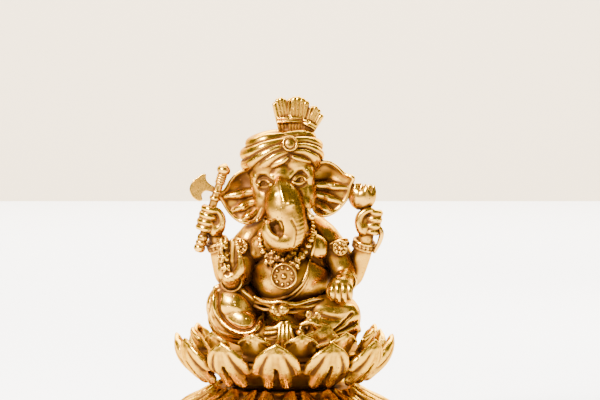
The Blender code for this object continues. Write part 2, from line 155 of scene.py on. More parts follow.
def tree_of(mesh):
    return BVHTree.FromPolygons(read(mesh, "co").tolist(), triangles(mesh).tolist(), all_triangles=True)


def neighbours(mesh):
    """The two ends of every edge, and how many edges meet at each vertex."""
    pairs = np.empty(len(mesh.edges) * 2, dtype=np.int64)
    mesh.edges.foreach_get("vertices", pairs)
    degree = np.maximum(np.bincount(pairs, minlength=len(mesh.vertices)), 1)
    return pairs.reshape(-1, 2), degree


def spread(values, pairs, degree, times, pull=0.65):
    """Each value moved towards the mean of its neighbours."""
    for _ in range(times):
        total = np.bincount(pairs[:, 0], values[pairs[:, 1]], len(values))
        total += np.bincount(pairs[:, 1], values[pairs[:, 0]], len(values))
        values = values * (1 - pull) + total / degree * pull
    return values


def spread_places(places, pairs, degree, times, pull=0.65):
    return np.stack([spread(places[:, axis], pairs, degree, times, pull) for axis in range(3)], axis=1)


def mesh_from(bm):
    mesh = bpy.data.meshes.new("lump")
    bm.to_mesh(mesh)
    bm.free()
    return mesh


# %% Lumps of clay


def curve_through(points, count):
    """count stations along a Catmull-Rom curve through points of any number of values each."""
    ends = [Vector(p) for p in points]
    ends = [ends[0] * 2 - ends[1], *ends, ends[-1] * 2 - ends[-2]]
    spans = len(points) - 1
    stations = []
    for step in range(count):
        along = spans * step / (count - 1)
        span = min(int(along), spans - 1)
        t = along - span
        a, b, c, d = ends[span : span + 4]
        square = 2 * a - 5 * b + 4 * c - d
        cube = 3 * b - a - 3 * c + d
        stations.append(0.5 * (2 * b + (c - a) * t + square * t**2 + cube * t**3))
    return stations


SHAPES = {}
SHORTEST_BONE = 1e-4


def unit_shape(kind, detail):
    """A unit ball or bone as corner places and triangles, made once and then reused."""
    if (kind, detail) not in SHAPES:
        bm = bmesh.new()
        if kind == "ball":
            bmesh.ops.create_icosphere(bm, subdivisions=detail, radius=1.0)
        elif kind == "bone":
            bmesh.ops.create_cone(bm, cap_ends=True, segments=detail, radius1=1.0, radius2=1.0, depth=1.0)
        bmesh.ops.triangulate(bm, faces=bm.faces[:])
        places = np.array([vert.co for vert in bm.verts])
        SHAPES[kind, detail] = places, np.array([[vert.index for vert in face.verts] for face in bm.faces])
        bm.free()
    return SHAPES[kind, detail]


class Clay:
    """Overlapping closed lumps, in millimetres, that are pressed into one skin."""

    def __init__(self):
        self.places, self.faces, self.count = [], [], 0

    def lay(self, places, faces, turn=None, centre=(0, 0, 0)):
        if turn is not None:
            places = places @ np.array(turn).T
        self.places.append(places + np.array(centre))
        self.faces.append(faces + self.count)
        self.count += len(places)

    def ball(self, centre, radii, turn=None, finish=3):
        places, faces = unit_shape("ball", finish)
        self.lay(places * np.array(radii), faces, turn, centre)

    def bone(self, start, end, start_radius, end_radius, segments=16):
        start, end = Vector(start), Vector(end)
        along = end - start
        if along.length < SHORTEST_BONE:
            return
        places, faces = unit_shape("bone", segments)
        radius = np.where(places[:, 2] < 0, start_radius, end_radius)
        places = places * np.stack([radius, radius, np.full(len(places), along.length)], axis=1)
        turn = Vector((0, 0, 1)).rotation_difference(along).to_matrix()
        self.lay(places, faces, turn, (start + end) / 2)

    def limb(self, points, count=14, finish=2, segments=16):
        """A bar that swells and thins along points, each x, y, z and radius."""
        stations = curve_through(points, count)
        for station in stations:
            self.ball(station.xyz, station.w, finish=finish)
        for a, b in zip(stations, stations[1:]):
            self.bone(a.xyz, b.xyz, a.w, b.w, segments)

    def add(self, mesh, place=Matrix.Identity(4)):
        """A closed mesh, which is then removed."""
        faces, places = triangles(mesh), read(mesh, "co")
        bpy.data.meshes.remove(mesh)
        self.lay(places, faces, place.to_3x3(), place.translation)

    def copied(self, other, place):
        """All the lumps of another clay, moved by place."""
        for places, faces in zip(other.places, other.faces):
            self.places.append(places @ np.array(place.to_3x3()).T + np.array(place.translation))
            self.faces.append(faces + self.count)
        self.count += other.count

    def fuse(self, voxel, relax=3):
        """One skin of even squares, voxel wide, smoothed relax times."""
        lumps = bpy.data.meshes.new("lumps")
        lumps.from_pydata(np.concatenate(self.places), [], np.concatenate(self.faces))
        holder = bpy.data.objects.new("lumps", lumps)
        bpy.context.scene.collection.objects.link(holder)
        remesh = holder.modifiers.new("skin", "REMESH")
        remesh.mode = "VOXEL"
        remesh.voxel_size = voxel
        graph = bpy.context.evaluated_depsgraph_get()
        skin = bpy.data.meshes.new_from_object(holder.evaluated_get(graph))
        bpy.data.objects.remove(holder)
        bpy.data.meshes.remove(lumps)
        write(skin, spread_places(read(skin, "co"), *neighbours(skin), relax, pull=0.5))
        return skin


# %% Sheets, turned solids and mixed steps


def plate(rim, thickness):
    """A flat sheet square to the line of sight, from the points of its rim."""
    bm = bmesh.new()
    face = bm.faces.new([bm.verts.new(p.xyz) for p in rim])
    bmesh.ops.translate(bm, verts=bm.verts[:], vec=(0, -thickness / 2, 0))
    swept = bmesh.ops.extrude_face_region(bm, geom=[face])
    back = [item for item in swept["geom"] if isinstance(item, bmesh.types.BMVert)]
    bmesh.ops.translate(bm, verts=back, vec=(0, thickness, 0))
    bmesh.ops.triangulate(bm, faces=bm.faces[:])
    bmesh.ops.recalc_face_normals(bm, faces=bm.faces[:])
    return mesh_from(bm)


def turned(profile, steps=96):
    """A closed solid of revolution from radius, height points that start and end on the axis."""
    bm = bmesh.new()
    verts = [bm.verts.new((radius, 0, height)) for radius, height in profile]
    edges = [bm.edges.new(pair) for pair in zip(verts, verts[1:])]
    circle = dict(cent=(0, 0, 0), axis=(0, 0, 1), angle=math.tau, steps=steps)
    bmesh.ops.spin(bm, geom=verts + edges, use_merge=True, **circle)
    bmesh.ops.remove_doubles(bm, verts=bm.verts[:], dist=0.01)
    bmesh.ops.recalc_face_normals(bm, faces=bm.faces[:])
    return mesh_from(bm)


def stepped(radius, height, *steps):
    """Part of a profile: radius, height points, each given as a step from the same start."""
    return [(radius + out, height + up) for out, up in steps]


def smooth_share(value, low, high):
    """0 below low, 1 above high and a soft step between."""
    share = min(max((value - low) / (high - low), 0), 1)
    return share * share * (3 - 2 * share)


# %% [markdown]
# ## Creases, ridges and dents
#
# Fine relief is pressed in after the remesh, because voxels would wash it out. A route is laid on the skin
# and every vertex moves along its own normal by a bell-shaped amount that falls off with its distance from
# the route. A negative height is a crease, and a positive one is a raised line.

# %% Pressing relief into a skin


def distance_to(places, route):
    """How far each place is from the nearest point of a route of straight spans."""
    best = np.full(len(places), 1e9)
    route = [np.array(p) for p in route]
    for a, b in zip(route, route[1:]):
        span = b - a
        share = np.clip((places - a) @ span / max(span @ span, 1e-9), 0, 1)
        best = np.minimum(best, np.linalg.norm(places - a - share[:, None] * span, axis=1))
    return best


def press(mesh, routes, width, height, project=True, count=18):
    """Raises, or with a negative height sinks, a soft line along each route."""
    tree = tree_of(mesh) if project else None
    for points in routes:
        line = [Vector(p) for p in points]
        if len(points) > 2:
            line = [s.xyz for s in curve_through(points, count)]
        if project:
            line = [tree.find_nearest(p)[0] for p in line]
        places, normals = read(mesh, "co"), read(mesh, "no")
        reach = width * 3
        low, high = np.min(line, axis=0) - reach, np.max(line, axis=0) + reach
        near_line = np.flatnonzero(((places > low) & (places < high)).all(axis=1))
        away = distance_to(places[near_line], line) / width
        places[near_line] += normals[near_line] * (height * np.exp(-(away**2)))[:, None]
        write(mesh, places)


def swell(mesh, centre, radius, height):
    """A soft dome, or with a negative height a soft dent, round a point on the skin."""
    places, normals = read(mesh, "co"), read(mesh, "no")
    away = np.linalg.norm(places - np.array(centre), axis=1) / radius
    write(mesh, places + normals * (height * np.exp(-(away**2)))[:, None])


# %% [markdown]
# ## Drawing from the front
#
# Eyelids, folds and jewellery are laid out as they are seen from the front. Each x, z point of a route is
# dropped along the line of sight onto the skin, so the same route fits the form whatever its depth.

# %% Drawing on a skin from the front

VIEWER_Y = -80
AWAY = Vector((0, 1, 0))


def over(tree, points, lift=0.0, count=0):
    """x, z points dropped onto a skin from the front, then drawn lift towards the viewer."""
    if count:
        points = [(s.x, s.y) for s in curve_through([(x, z, 0, 0) for x, z in points], count)]
    found = []
    for x, z in points:
        hit, normal, _, _ = tree.ray_cast(at(x, VIEWER_Y, z), AWAY)
        if hit is not None:
            found.append(hit + normal * lift)
    return found


def draw(mesh, *strokes):
    """Creases or raised lines: each stroke is routes of x, z from the front, a width and a height."""
    tree = tree_of(mesh)
    for routes, width, height in strokes:
        laid = [over(tree, route, count=16) for route in routes]
        press(mesh, [route for route in laid if len(route) > 2], width, height, project=False)


def dab(mesh, *dabs):
    """Domes or dents, each x, z seen from the front, a radius and a height."""
    tree = tree_of(mesh)
    for x, z, radius, height in dabs:
        for spot in over(tree, [(x, z)]):
            swell(mesh, spot, radius, height)


# %% [markdown]
# ## Finished pieces
#
# A finished piece goes from millimetres to metres, is tied to the model's one rigid body, hides the plain
# solids that it stands for and takes its finish from one of the record's slots.

# %% Handing a piece over

MADE = []


def finish(name, mesh, slot, *nodes):
    mesh.name = name
    mesh.transform(Matrix.Scale(MM, 4))
    mesh.shade_smooth()
    made = bpy.data.objects.new(name, mesh)
    bpy.context.scene.collection.objects.link(made)
    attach(made, "root")
    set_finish(made, slot)
    if nodes:
        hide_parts(*nodes)
    MADE.append(made)
    print(f"{name}: {len(mesh.polygons)} faces")

# %% [markdown]
# ## Lotus petals
#
# A carved lotus petal here is a pointed leaf whose back ends in four plump fingers, with deep grooves
# between them that hold the wash. The leaf is two bent grids, a back and a front, that meet all round their
# rim. The fingers, the middle ridge and the thickened edges are strokes laid on the same curve, and the
# remesh runs them together.

# %% One petal


def on_petal(stations, across, along, sink, cup):
    """A point on a petal at the front of its ring. along runs from 0 at the tip to 1 at the root."""
    step = along * (len(stations) - 1)
    index = min(int(step), len(stations) - 2)
    here = stations[index].lerp(stations[index + 1], step - index)
    slope = (stations[index] - stations[index + 1]).xy.normalized()
    outward = Vector((slope.y, -slope.x))
    if outward.x < 0:
        outward = -outward
    place = here.xy - outward * (sink + cup * across**2)
    return Vector((across, -place.x, place.y))


def leaf(spine, half_widths, plump, cup, rows=30, columns=20):
    """A closed leaf. spine is radius, height from tip to root, and cup bends its sides back."""
    stations = curve_through([(*p, w, 0) for p, w in zip(spine, half_widths)], rows + 1)
    bm = bmesh.new()
    for outside in (1, -1):
        grid = bmesh.ops.create_grid(bm, x_segments=columns, y_segments=rows, size=1.0)
        for vert in grid["verts"]:
            across, along = vert.co.x, (vert.co.y + 1) / 2
            width = stations[round(along * rows)].z
            thick = plump * math.sqrt(max(1 - across**2, 0)) * math.sqrt(smooth_share(along, -0.06, 0.3))
            sink = plump * 0.7 + (-thick * 0.7 if outside > 0 else thick * 0.3)
            vert.co = on_petal(stations, across * width, along, sink, cup)
    bmesh.ops.remove_doubles(bm, verts=bm.verts[:], dist=0.02)
    bmesh.ops.recalc_face_normals(bm, faces=bm.faces[:])
    return mesh_from(bm)


FINGERS = [
    [(1.1, 0.20, 1.4), (1.95, 0.42, 1.8), (2.55, 0.68, 2.05), (2.95, 0.93, 1.85)],
    [(2.9, 0.20, 1.3), (5.1, 0.40, 1.6), (6.3, 0.58, 1.7), (6.8, 0.74, 1.4)],
]
LOWER_FINGERS = [
    [(1.1, 0.20, 1.3), (1.9, 0.44, 1.8), (2.1, 0.70, 1.6), (1.7, 0.94, 0.9)],
    [(3.0, 0.20, 1.2), (5.0, 0.40, 1.5), (5.3, 0.60, 1.4), (4.5, 0.80, 0.9)],
]
EDGES = [[(0.0, 0.02, 0.65), (2.0, 0.10, 0.75), (4.4, 0.22, 0.8), (6.4, 0.38, 0.8)]]
RIDGE = [(0.0, 0.0, 0.6), (0.0, 0.08, 1.2), (0.0, 0.22, 1.7), (0.0, 0.36, 1.3)]


def petal_lumps(clay, spine, half_widths, plump, cup, strokes, size=1.0, fat=1.0):
    """One petal, as a leaf with strokes of x, along and radius laid on it and mirrored."""
    stations = curve_through([(*p, 0, 0) for p in spine], 40)
    clay.add(leaf(spine, half_widths, plump, cup))
    for stroke in strokes:
        for side in (-1, 1) if stroke[-1][0] else (1,):
            points = [
                (*on_petal(stations, side * x * size, along, radius * fat * 0.8, cup), radius * fat)
                for x, along, radius in stroke
            ]
            clay.limb(points, count=9, finish=2, segments=12)


# %% Three rings of petals on their bowls

PETALS = 12
FIRST_TURN = -4.0
HALF_A_PETAL_ON = FIRST_TURN + 180 / PETALS


def ring_of_petals(core, petal, first_turn, voxel, relax=1):
    clay, one = Clay(), Clay()
    clay.add(turned(core))
    petal_lumps(one, **petal)
    for number in range(PETALS):
        clay.copied(one, Matrix.Rotation(math.radians(first_turn + number * 360 / PETALS), 4, "Z"))
    return clay.fuse(voxel, relax)


upper_low, upper_high = corners("upper_lotus")
lower_low, lower_high = corners("lower_lotus")
inner_low, inner_high = corners("inner_petal_ring")
seat_floor = corners("lotus_seat")[0].z
rim = upper_high.x

upper_petal = dict(
    spine=stepped(rim, upper_high.z, (0.5, -1.3), (0.6, -4.8), (-0.4, -8.8), (-3.4, -12.9), (-9.0, -17.8)),
    half_widths=[0.4, 5.0, 7.3, 6.4, 3.6],
    plump=1.5,
    cup=0.042,
    strokes=[RIDGE, *FINGERS, *EDGES],
)
upper_core = stepped(0, upper_low.z, (0, 3.4), (10.4, 3.4), (10.4, 0), (17.5, 0), (19.0, 1.4), (25.0, 5.2))
upper_core += stepped(0, seat_floor, (29.6, -1.0), (29.0, -0.4), (0, -0.4))
skin = ring_of_petals(upper_core, upper_petal, FIRST_TURN, voxel=0.455)
finish("upper_lotus_petals", skin, "antique_gold_base", "upper_lotus")

inner_rim = inner_high.x + 0.3
inner_petal = dict(
    spine=stepped(inner_rim, inner_high.z, (0, 0.4), (0.2, -1.6), (-0.6, -3.8), (-2.2, -6.6), (-4.4, -9.0)),
    half_widths=[0.3, 3.6, 5.6, 5.6, 4.4],
    plump=1.5,
    cup=0.045,
    strokes=[
        RIDGE[:3],
        [(x, along * 1.25, radius) for x, along, radius in EDGES[0]],
        [(2.0, 0.35, 0.9), (2.6, 0.9, 1.2)],
    ],
    size=0.82,
    fat=0.85,
)
inner_core = [
    (0, inner_low.z),
    *stepped(inner_rim, inner_low.z, (-3.4, 0), (-3.0, 1.6), (-4.6, 2.2)),
    (0, inner_low.z + 2.2),
]
skin = ring_of_petals(inner_core, inner_petal, HALF_A_PETAL_ON, voxel=0.34)
finish("inner_petals_and_seat", skin, "antique_gold_base", "inner_petal_ring", "lotus_seat")

lower_rim = lower_high.x
lower_petal = dict(
    spine=stepped(lower_rim, lower_low.z, (0.4, 3.6), (-2, 7.4), (-6.6, 10.4), (-11.6, 12.8), (-16.4, 16)),
    half_widths=[0.4, 5.6, 8.2, 7.0, 3.6],
    plump=2.0,
    cup=0.045,
    strokes=[RIDGE, *LOWER_FINGERS, *EDGES],
    size=1.08,
)
lower_core = stepped(0, lower_low.z, (0, 3.4), (10.4, 3.4), (10.4, 0), (32.0, 0), (33.0, 1.4), (31.0, 5.0))
lower_core += stepped(0, lower_low.z, (25.0, 11.5), (22.5, 14.2), (10.0, 14.2))
lower_core += [(10.0, lower_high.z), (0, lower_high.z)]
skin = ring_of_petals(lower_core, lower_petal, HALF_A_PETAL_ON, voxel=0.475)
finish("lower_lotus_petals", skin, "antique_gold_base", "lower_lotus")

# %% Plinth with a row of beads

plinth_low, plinth_high = corners("plinth")
plinth_rim = plinth_high.x
shoulder = lower_low.z - 0.35
moulding = [(-1.0, 0), (-0.2, 0.4), (0, 1.0), (-0.4, 1.6), (-1.3, 1.9), (-1.5, 2.5), (-1.3, 3.6)]
plinth_profile = [
    (0, plinth_low.z),
    *stepped(plinth_rim, plinth_low.z, *moulding),
    (plinth_rim - 1.7, shoulder),
    (10.0, shoulder),
    (10.0, plinth_high.z),
    (0, plinth_high.z),
]
clay = Clay()
clay.add(turned(plinth_profile, steps=120))
BEADS_ROUND_PLINTH = 84
for number in range(BEADS_ROUND_PLINTH):
    angle = math.tau * number / BEADS_ROUND_PLINTH
    spoke = Vector((math.cos(angle), math.sin(angle), 0)) * (plinth_rim - 1.3)
    clay.ball(spoke + Vector((0, 0, plinth_low.z + 2.9)), 1.1, finish=2)
finish("beaded_plinth", clay.fuse(0.36, relax=1), "antique_gold_base", "plinth")

# %% [markdown]
# ## The head
#
# The head leans a little to one side, so it is modelled upright about its own centre and then turned as a
# whole. Brow domes, cheeks and the trunk are separate lumps that the remesh runs together. The trunk leaves
# the brow as a narrow ridge, swells over the mouth and curls to the right, where its open tip faces up.

# %% The head's own axes

LEAN = math.radians(8)
HEAD_TURN = Matrix.Rotation(-LEAN, 3, "Y")
HEAD = middle("head")


def in_head(x, y, z):
    """A point given upright about the head's centre, turned with the head."""
    return HEAD + HEAD_TURN @ Vector((x, y, z))


def seen(*points):
    """The x, z of upright points about the head's centre, once they are turned."""
    return [(p.x, p.z) for p in (in_head(x, 0, z) - FOOT for x, z in points)]


# %% The trunk's route, from the brow to the curled tip

TRUNK = [
    (*near("trunk", x, y, z), radius)
    for x, y, z, radius in (
        (-1.2, 6.4, 16.6, 3.0),
        (-1.0, 4.6, 12.6, 3.5),
        (-0.7, 2.8, 9.4, 4.4),
        (-0.1, 1.2, 5.6, 5.9),
        (0.6, 0.5, 1.6, 6.6),
        (2.0, -0.2, -2.6, 5.8),
        (2.9, -1.0, -6.2, 4.6),
        (1.9, -1.8, -8.6, 3.8),
        (-0.7, -2.4, -9.2, 3.4),
        (-3.4, -2.6, -8.0, 2.9),
        (-4.9, -2.8, -5.6, 2.6),
        (-4.8, -3.0, -3.6, 2.2),
    )
]

# %% Head and trunk in clay, fused as one skin

clay = Clay()
clay.ball(in_head(0.6, 0.5, 1.0), (11.0, 11.2, 12.2), HEAD_TURN, finish=4)
clay.ball(in_head(0.6, -3.4, -1.0), (9.9, 8.8, 10.4), HEAD_TURN, finish=4)
for side in (-1, 1):
    clay.ball(in_head(0.6 + side * 6.6, -4.2, -5.2), (4.2, 6.2, 6.4), HEAD_TURN)
    clay.ball(in_head(0.6 + side * 4.6, -6.8, 5.6), (4.9, 4.8, 4.6), HEAD_TURN)
    clay.ball(in_head(0.6 + side * 8.2, -4.6, 0.6), (3.0, 5.6, 5.4), HEAD_TURN)
    clay.ball(in_head(0.6 + side * 5.8, -7.2, -8.4), (3.0, 4.4, 4.0), HEAD_TURN)
clay.ball(in_head(0.4, -6.8, 2.6), (4.4, 5.0, 6.6), HEAD_TURN, finish=4)
clay.limb(TRUNK, count=36, finish=3, segments=32)
skin = clay.fuse(0.28, relax=18)

# %% Eyes: shallow sockets, thick lids and the folds round them

EYES = {"right_eye": (-5.6, 0.1), "left_eye": (6.2, -0.3)}
LIDS = [
    (0.38, -0.40, ((-2.6, 0.4), (-1.3, 1.7), (0.3, 2.15), (1.8, 1.7), (2.8, 0.6))),
    (0.40, -0.20, ((-2.1, -1.8), (-0.8, -2.4), (0.9, -2.4), (2.3, -1.7))),
    (0.90, 0.34, ((-2.7, 1.9), (-1.0, 3.3), (1.3, 3.6), (3.0, 2.6))),
    (0.40, 0.70, ((-2.2, -0.6), (-1.1, 0.65), (0.2, 1.05), (1.3, 0.75), (2.2, -0.3))),
    (0.36, 0.52, ((-2.2, -0.6), (-1.0, -1.15), (0.4, -1.25), (1.4, -0.9), (2.2, -0.3))),
]
for x, z in EYES.values():
    inner = -2.4 if x > 0 else 2.4
    dab(skin, (*seen((x, z))[0], 2.2, -0.50), (*seen((x + inner, z))[0], 1.2, -0.30))
tree = tree_of(skin)
eye_spots = {node: over(tree, seen(place))[0] for node, place in EYES.items()}
for width, height, line in LIDS:
    routes = [seen(*[(x + (1 if x > 0 else -1) * dx, z + dz) for dx, dz in line]) for x, z in EYES.values()]
    draw(skin, (routes, width, height))

# %% Trunk: the ridge down its front, the long crease, and fine rings round its bend


def on_trunk(*points):
    return [(x + middle("trunk").x - FOOT.x, z + middle("trunk").z - FOOT.z) for x, z in points]


def trunk_dabs(*dabs):
    return [(*on_trunk((x, z))[0], radius, height) for x, z, radius, height in dabs]


rings = [on_trunk((4.4, z - 0.4), (5.8, z), (7.0, z + 0.6)) for z in np.arange(-1.6, -9.4, -1.5)]
draw(
    skin,
    ([on_trunk((-1.4, 12.0), (-0.6, 8.0), (0.2, 4.6))], 0.75, 0.45),
    ([on_trunk((2.8, -1.6), (4.3, -4.6), (4.2, -7.6), (3.6, -10.6))], 0.36, -0.24),
    (rings, 0.3, -0.07),
)
bumps = [(2.4, 3.6, 1.6, 0.85), (3.1, 2.9, 0.55, -0.5), (1.7, 4.5, 0.5, -0.35), (-2.6, 6.8, 1.4, 0.3)]
dab(skin, *trunk_dabs(*bumps))

# %% The open tip of the trunk: a hollow with a raised lip on its outer side

dab(skin, *trunk_dabs((-2.9, -4.0, 1.4, -1.8), (-2.3, -5.6, 1.1, -1.3), (-3.4, -3.1, 0.9, -0.9)))
draw(
    skin,
    ([on_trunk((-5.3, -3.0), (-4.8, -5.0), (-3.6, -6.6), (-2.0, -7.4))], 0.55, 0.75),
    ([on_trunk((-1.0, -2.6), (-0.5, -4.8), (-1.0, -6.8))], 0.7, -0.7),
)
finish("head_and_trunk", skin, "antique_gold_skin", "head", "trunk")

# %% [markdown]
# ## Turban, brooch and fan
#
# The turban is wound cloth, so it is made of rolls: each starts under the brooch, spreads out over the side
# of the head and meets its partner at the back. Where two rolls touch, the fused skin keeps a valley that
# holds the wash.

# %% Rolls of cloth over a rounded core

TURBAN = in_head(1.4, 0.6, 8.2)
TURBAN_RADII = Vector((12.2, 12.4, 8.3))
brooch = HEAD_TURN.inverted() @ (middle("turban_brooch") - TURBAN)
BROOCH_TURN = math.degrees(math.atan2(brooch.x, -brooch.y))


def on_turban(turn, height, lift):
    """A point on the rounded core: turn in degrees from the front, height above its middle."""
    share = math.sqrt(max(1 - (height / TURBAN_RADII.z) ** 2, 0.02))
    a = math.radians(turn)
    outward = Vector((math.sin(a) * share, -math.cos(a) * share, height / TURBAN_RADII.z))
    core = Vector((outward.x * TURBAN_RADII.x, outward.y * TURBAN_RADII.y, height))
    return TURBAN + HEAD_TURN @ (core + outward.normalized() * lift)


WINDING = [step / 9 for step in range(10)]
FIRST_DEGREES, SWEPT_DEGREES = 7, 173


def winding(way, front, side, back, lift):
    """A route from the brooch round one side of the head to its back."""
    points = []
    for share in WINDING:
        rise = smooth_share(share, 0.0, 0.45)
        height = front + (side - front) * rise + (back - side) * smooth_share(share, 0.5, 1.0)
        points.append(on_turban(BROOCH_TURN + way * (FIRST_DEGREES + share * SWEPT_DEGREES), height, lift))
    return points


clay = Clay()
clay.ball(TURBAN, TURBAN_RADII, HEAD_TURN, finish=4)
clay.ball(in_head(1.0, 2.4, 5.0), (11.8, 11.0, 8.0), HEAD_TURN)
ROLLS = {
    -1: [(7.0, 5.2, 6.4), (5.2, 1.9, 3.6), (3.4, -1.5, 0.4), (1.4, -5.0, -3.0)],
    1: [(6.9, 4.6, 6.4), (5.0, 1.2, 3.6), (3.0, -2.2, 0.4), (1.2, -5.4, -3.0)],
}
for way, rolls in ROLLS.items():
    for front, side, back in rolls:
        route = winding(way, front, side, back, -0.15)
        thick = [1.0 + 1.5 * smooth_share(share, 0.0, 0.30) for share in WINDING]
        clay.limb([(*p, t) for p, t in zip(route, thick)], count=34, finish=3, segments=20)
SWAG = [(5, -0.7, 0.7), (13, -1.5, 1.0), (24, -2.3, 1.0), (36, -3.3, 0.7)]
for way in (-1, 1):
    swag = [(*on_turban(BROOCH_TURN - 3 + way * turn, height, 0.45), thick) for turn, height, thick in SWAG]
    clay.limb(swag, count=12, finish=3)
skin = clay.fuse(0.32, relax=3)
for way, rolls in ROLLS.items():
    for (f0, s0, b0), (f1, s1, b1) in zip(rolls, rolls[1:]):
        valley = winding(way, (f0 + f1) / 2, (s0 + s1) / 2, (b0 + b1) / 2, 1.2)
        press(skin, [valley[:9]], 0.40, -0.45, count=60)
finish("wound_turban", skin, "antique_gold_cloth", "turban")

# %% Brooch: a rimmed disc with a small boss

brooch_middle = middle("turban_brooch")
outward = (brooch_middle - TURBAN).normalized()
outward = Vector((outward.x * 0.3, outward.y, outward.z * 0.7)).normalized()
disc = [
    (0, -1.6), (2.5, -1.6), (2.75, 0.2), (2.5, 0.75), (2.1, 0.8),
    (1.9, 0.4), (1.7, 0.4), (1.2, 0.75), (0, 1.0),
]
clay = Clay()
clay.add(turned(disc, 48), pointing(outward, brooch_middle + outward * 0.6))
finish("brooch", clay.fuse(0.16, relax=1), "antique_gold_ornament", "turban_brooch")

# %% The pleated fan: three lobes, each gathered by a double band

FAN = middle("turban_fan") + Vector((0, 0, 0.8))


def fan_lobe(clay, foot, spread_foot, top_left, top_right, pleats, thick):
    """Pleats that run up from a narrow foot to a wide round top, in front and behind."""
    for number in range(pleats):
        share = number / (pleats - 1)
        low = foot + Vector(spread_foot) * (share - 0.5)
        high = top_left.lerp(top_right, share)
        high.z += 1.0 * math.sin(share * math.pi) - thick
        for layer in (-1, 1):
            shift = Vector((0, layer * 0.75, 0))
            route = [(low, 0.7), (low.lerp(high, 0.35), 0.78), (low.lerp(high, 0.75), 0.95), (high, 1.0)]
            clay.limb([(*(p + shift), thick * t) for p, t in route], count=9, segments=14)


def fan_band(clay, left, right, lift, depth):
    """A cord across the pleats, in front and behind."""
    for layer in (-1, 1):
        shift = Vector((0, layer * depth, lift))
        between = (left + right) / 2 + shift + Vector((0, layer * 0.5, 0.2))
        clay.limb([(*(left + shift), 0.5), (*between, 0.55), (*(right + shift), 0.5)], count=9, segments=10)


def at_fan(x, z, y=0.0):
    return FAN + Vector((x, y, z))


clay = Clay()
for foot, spread_foot, top_left, top_right, y, pleats, thick in (
    ((-4.4, -5.6), (3.4, 0, 0), (-8.0, 4.6), (-4.9, 5.8), 0.0, 4, 0.95),
    ((-0.9, -5.6), (3.8, 0, 0), (-2.7, 6.0), (2.6, 5.2), -0.4, 5, 1.15),
    ((2.6, -6.6), (2.4, 0, -0.6), (4.7, 3.4), (7.6, 0.6), -0.8, 4, 0.95),
):
    fan_lobe(clay, at_fan(*foot, y), spread_foot, at_fan(*top_left, y), at_fan(*top_right, y), pleats, thick)
for lift in (0.0, 1.2):
    fan_band(clay, at_fan(-7.0, -2.2), at_fan(0.9, -2.0), lift, 1.7)
    fan_band(clay, at_fan(1.9, -2.6, -0.8), at_fan(5.6, -4.6, -0.8), lift, 1.6)
clay.ball(at_fan(-1.6, -5.4), (5.0, 2.0, 2.0))
skin = clay.fuse(0.2, relax=1)
for x0, z0, x1, z1 in ((-3.3, -0.4, -4.0, 6.0), (1.9, -1.0, 3.8, 4.6)):
    for y in (-20, 20):
        gap = [at_fan(x0, z0, y), at_fan((x0 + x1) / 2, (z0 + z1) / 2, y), at_fan(x1, z1, y)]
        press(skin, [gap], 0.38, -0.9)
finish("pleated_fan", skin, "antique_gold_cloth", "turban_fan")

# %% [markdown]
# ## Ears
#
# An ear is a thin sheet with a rolled rim. Its folds fan out from the root like the ribs of a leaf. The
# sheet, the rim and the ribs are fused, and the whole is then pushed back in the hollows so that both faces
# keep their thickness.

# %% An ear from its outline


def push(mesh, centre, radii, move):
    """Moves everything near centre, front and back alike, so that a sheet dishes without thinning."""
    places = read(mesh, "co")
    away = ((places - np.array(centre)) / np.array(radii)) ** 2
    write(mesh, places + np.exp(-away.sum(1))[:, None] * np.array(move))


def finish_ear(node, outline, ribs, hollows):
    """outline, ribs and hollows are x, z points from the node's middle."""
    clay = Clay()
    clay.add(plate(curve_through([(*near(node, x, 0, z), 0) for x, z in outline], 60), 0.9))
    clay.limb([(*near(node, x, -0.35, z), 0.72) for x, z in outline], count=60, segments=10)
    for x0, z0, x1, z1, thick in ribs:
        start, end = near(node, x0, -0.4, z0), near(node, x1, -0.3, z1)
        between = (start + end) / 2 + Vector((0, -0.25, 0))
        clay.limb([(*start, thick), (*between, thick * 1.25), (*end, thick * 0.6)], count=12, segments=12)
    skin = clay.fuse(0.26, relax=7)
    for x, z, radius, depth in hollows:
        push(skin, near(node, x, 0, z), (radius, 99, radius), (0, depth, 0))
    finish(node + "_sheet", skin, "antique_gold_skin", node)


finish_ear(
    "right_ear",
    outline=[
        (5.6, 8.9), (2.6, 9.2), (-0.4, 8.0), (-2.8, 5.6), (-4.6, 2.6), (-6.9, 0.7), (-5.6, -1.4),
        (-4.3, -3.8), (-2.4, -6.2), (-0.2, -7.9), (2.6, -8.7), (5.2, -7.8), (6.8, -5.0),
    ],
    ribs=[(5.4, 2.0, -4.4, 0.2, 1.35), (5.4, -1.4, -2.0, -4.4, 1.35), (5.8, -4.2, 1.2, -7.2, 1.15)],
    hollows=[
        (1.4, 5.2, 3.4, 1.7), (-6.9, 0.7, 2.4, -1.2), (2.2, -8.0, 2.6, -1.2), (2.4, 0.2, 1.7, 0.8),
        (3.4, -3.2, 1.5, 0.7),
    ],
)
finish_ear(
    "left_ear",
    outline=[
        (-6.8, 6.6), (-4.6, 8.8), (-1.6, 9.0), (1.4, 7.4), (4.0, 5.0), (7.0, 3.8), (6.0, 1.2),
        (5.2, -2.2), (3.2, -5.4), (0.4, -7.9), (-2.8, -9.0), (-5.6, -8.0), (-7.0, -5.0),
    ],
    ribs=[(-5.6, 1.6, 4.6, 0.4, 1.3), (-5.6, -1.6, 2.8, -4.4, 1.35), (-5.8, -4.6, -0.4, -7.6, 1.2)],
    hollows=[
        (-1.6, 5.2, 3.6, 1.7), (7.0, 3.8, 2.4, -1.2), (-2.4, -8.4, 2.6, -1.2), (-2.4, -0.2, 1.7, 0.8),
        (-3.4, -3.6, 1.5, 0.7),
    ],
)

# %% Tusks: a whole one with a point, and a blunt broken one

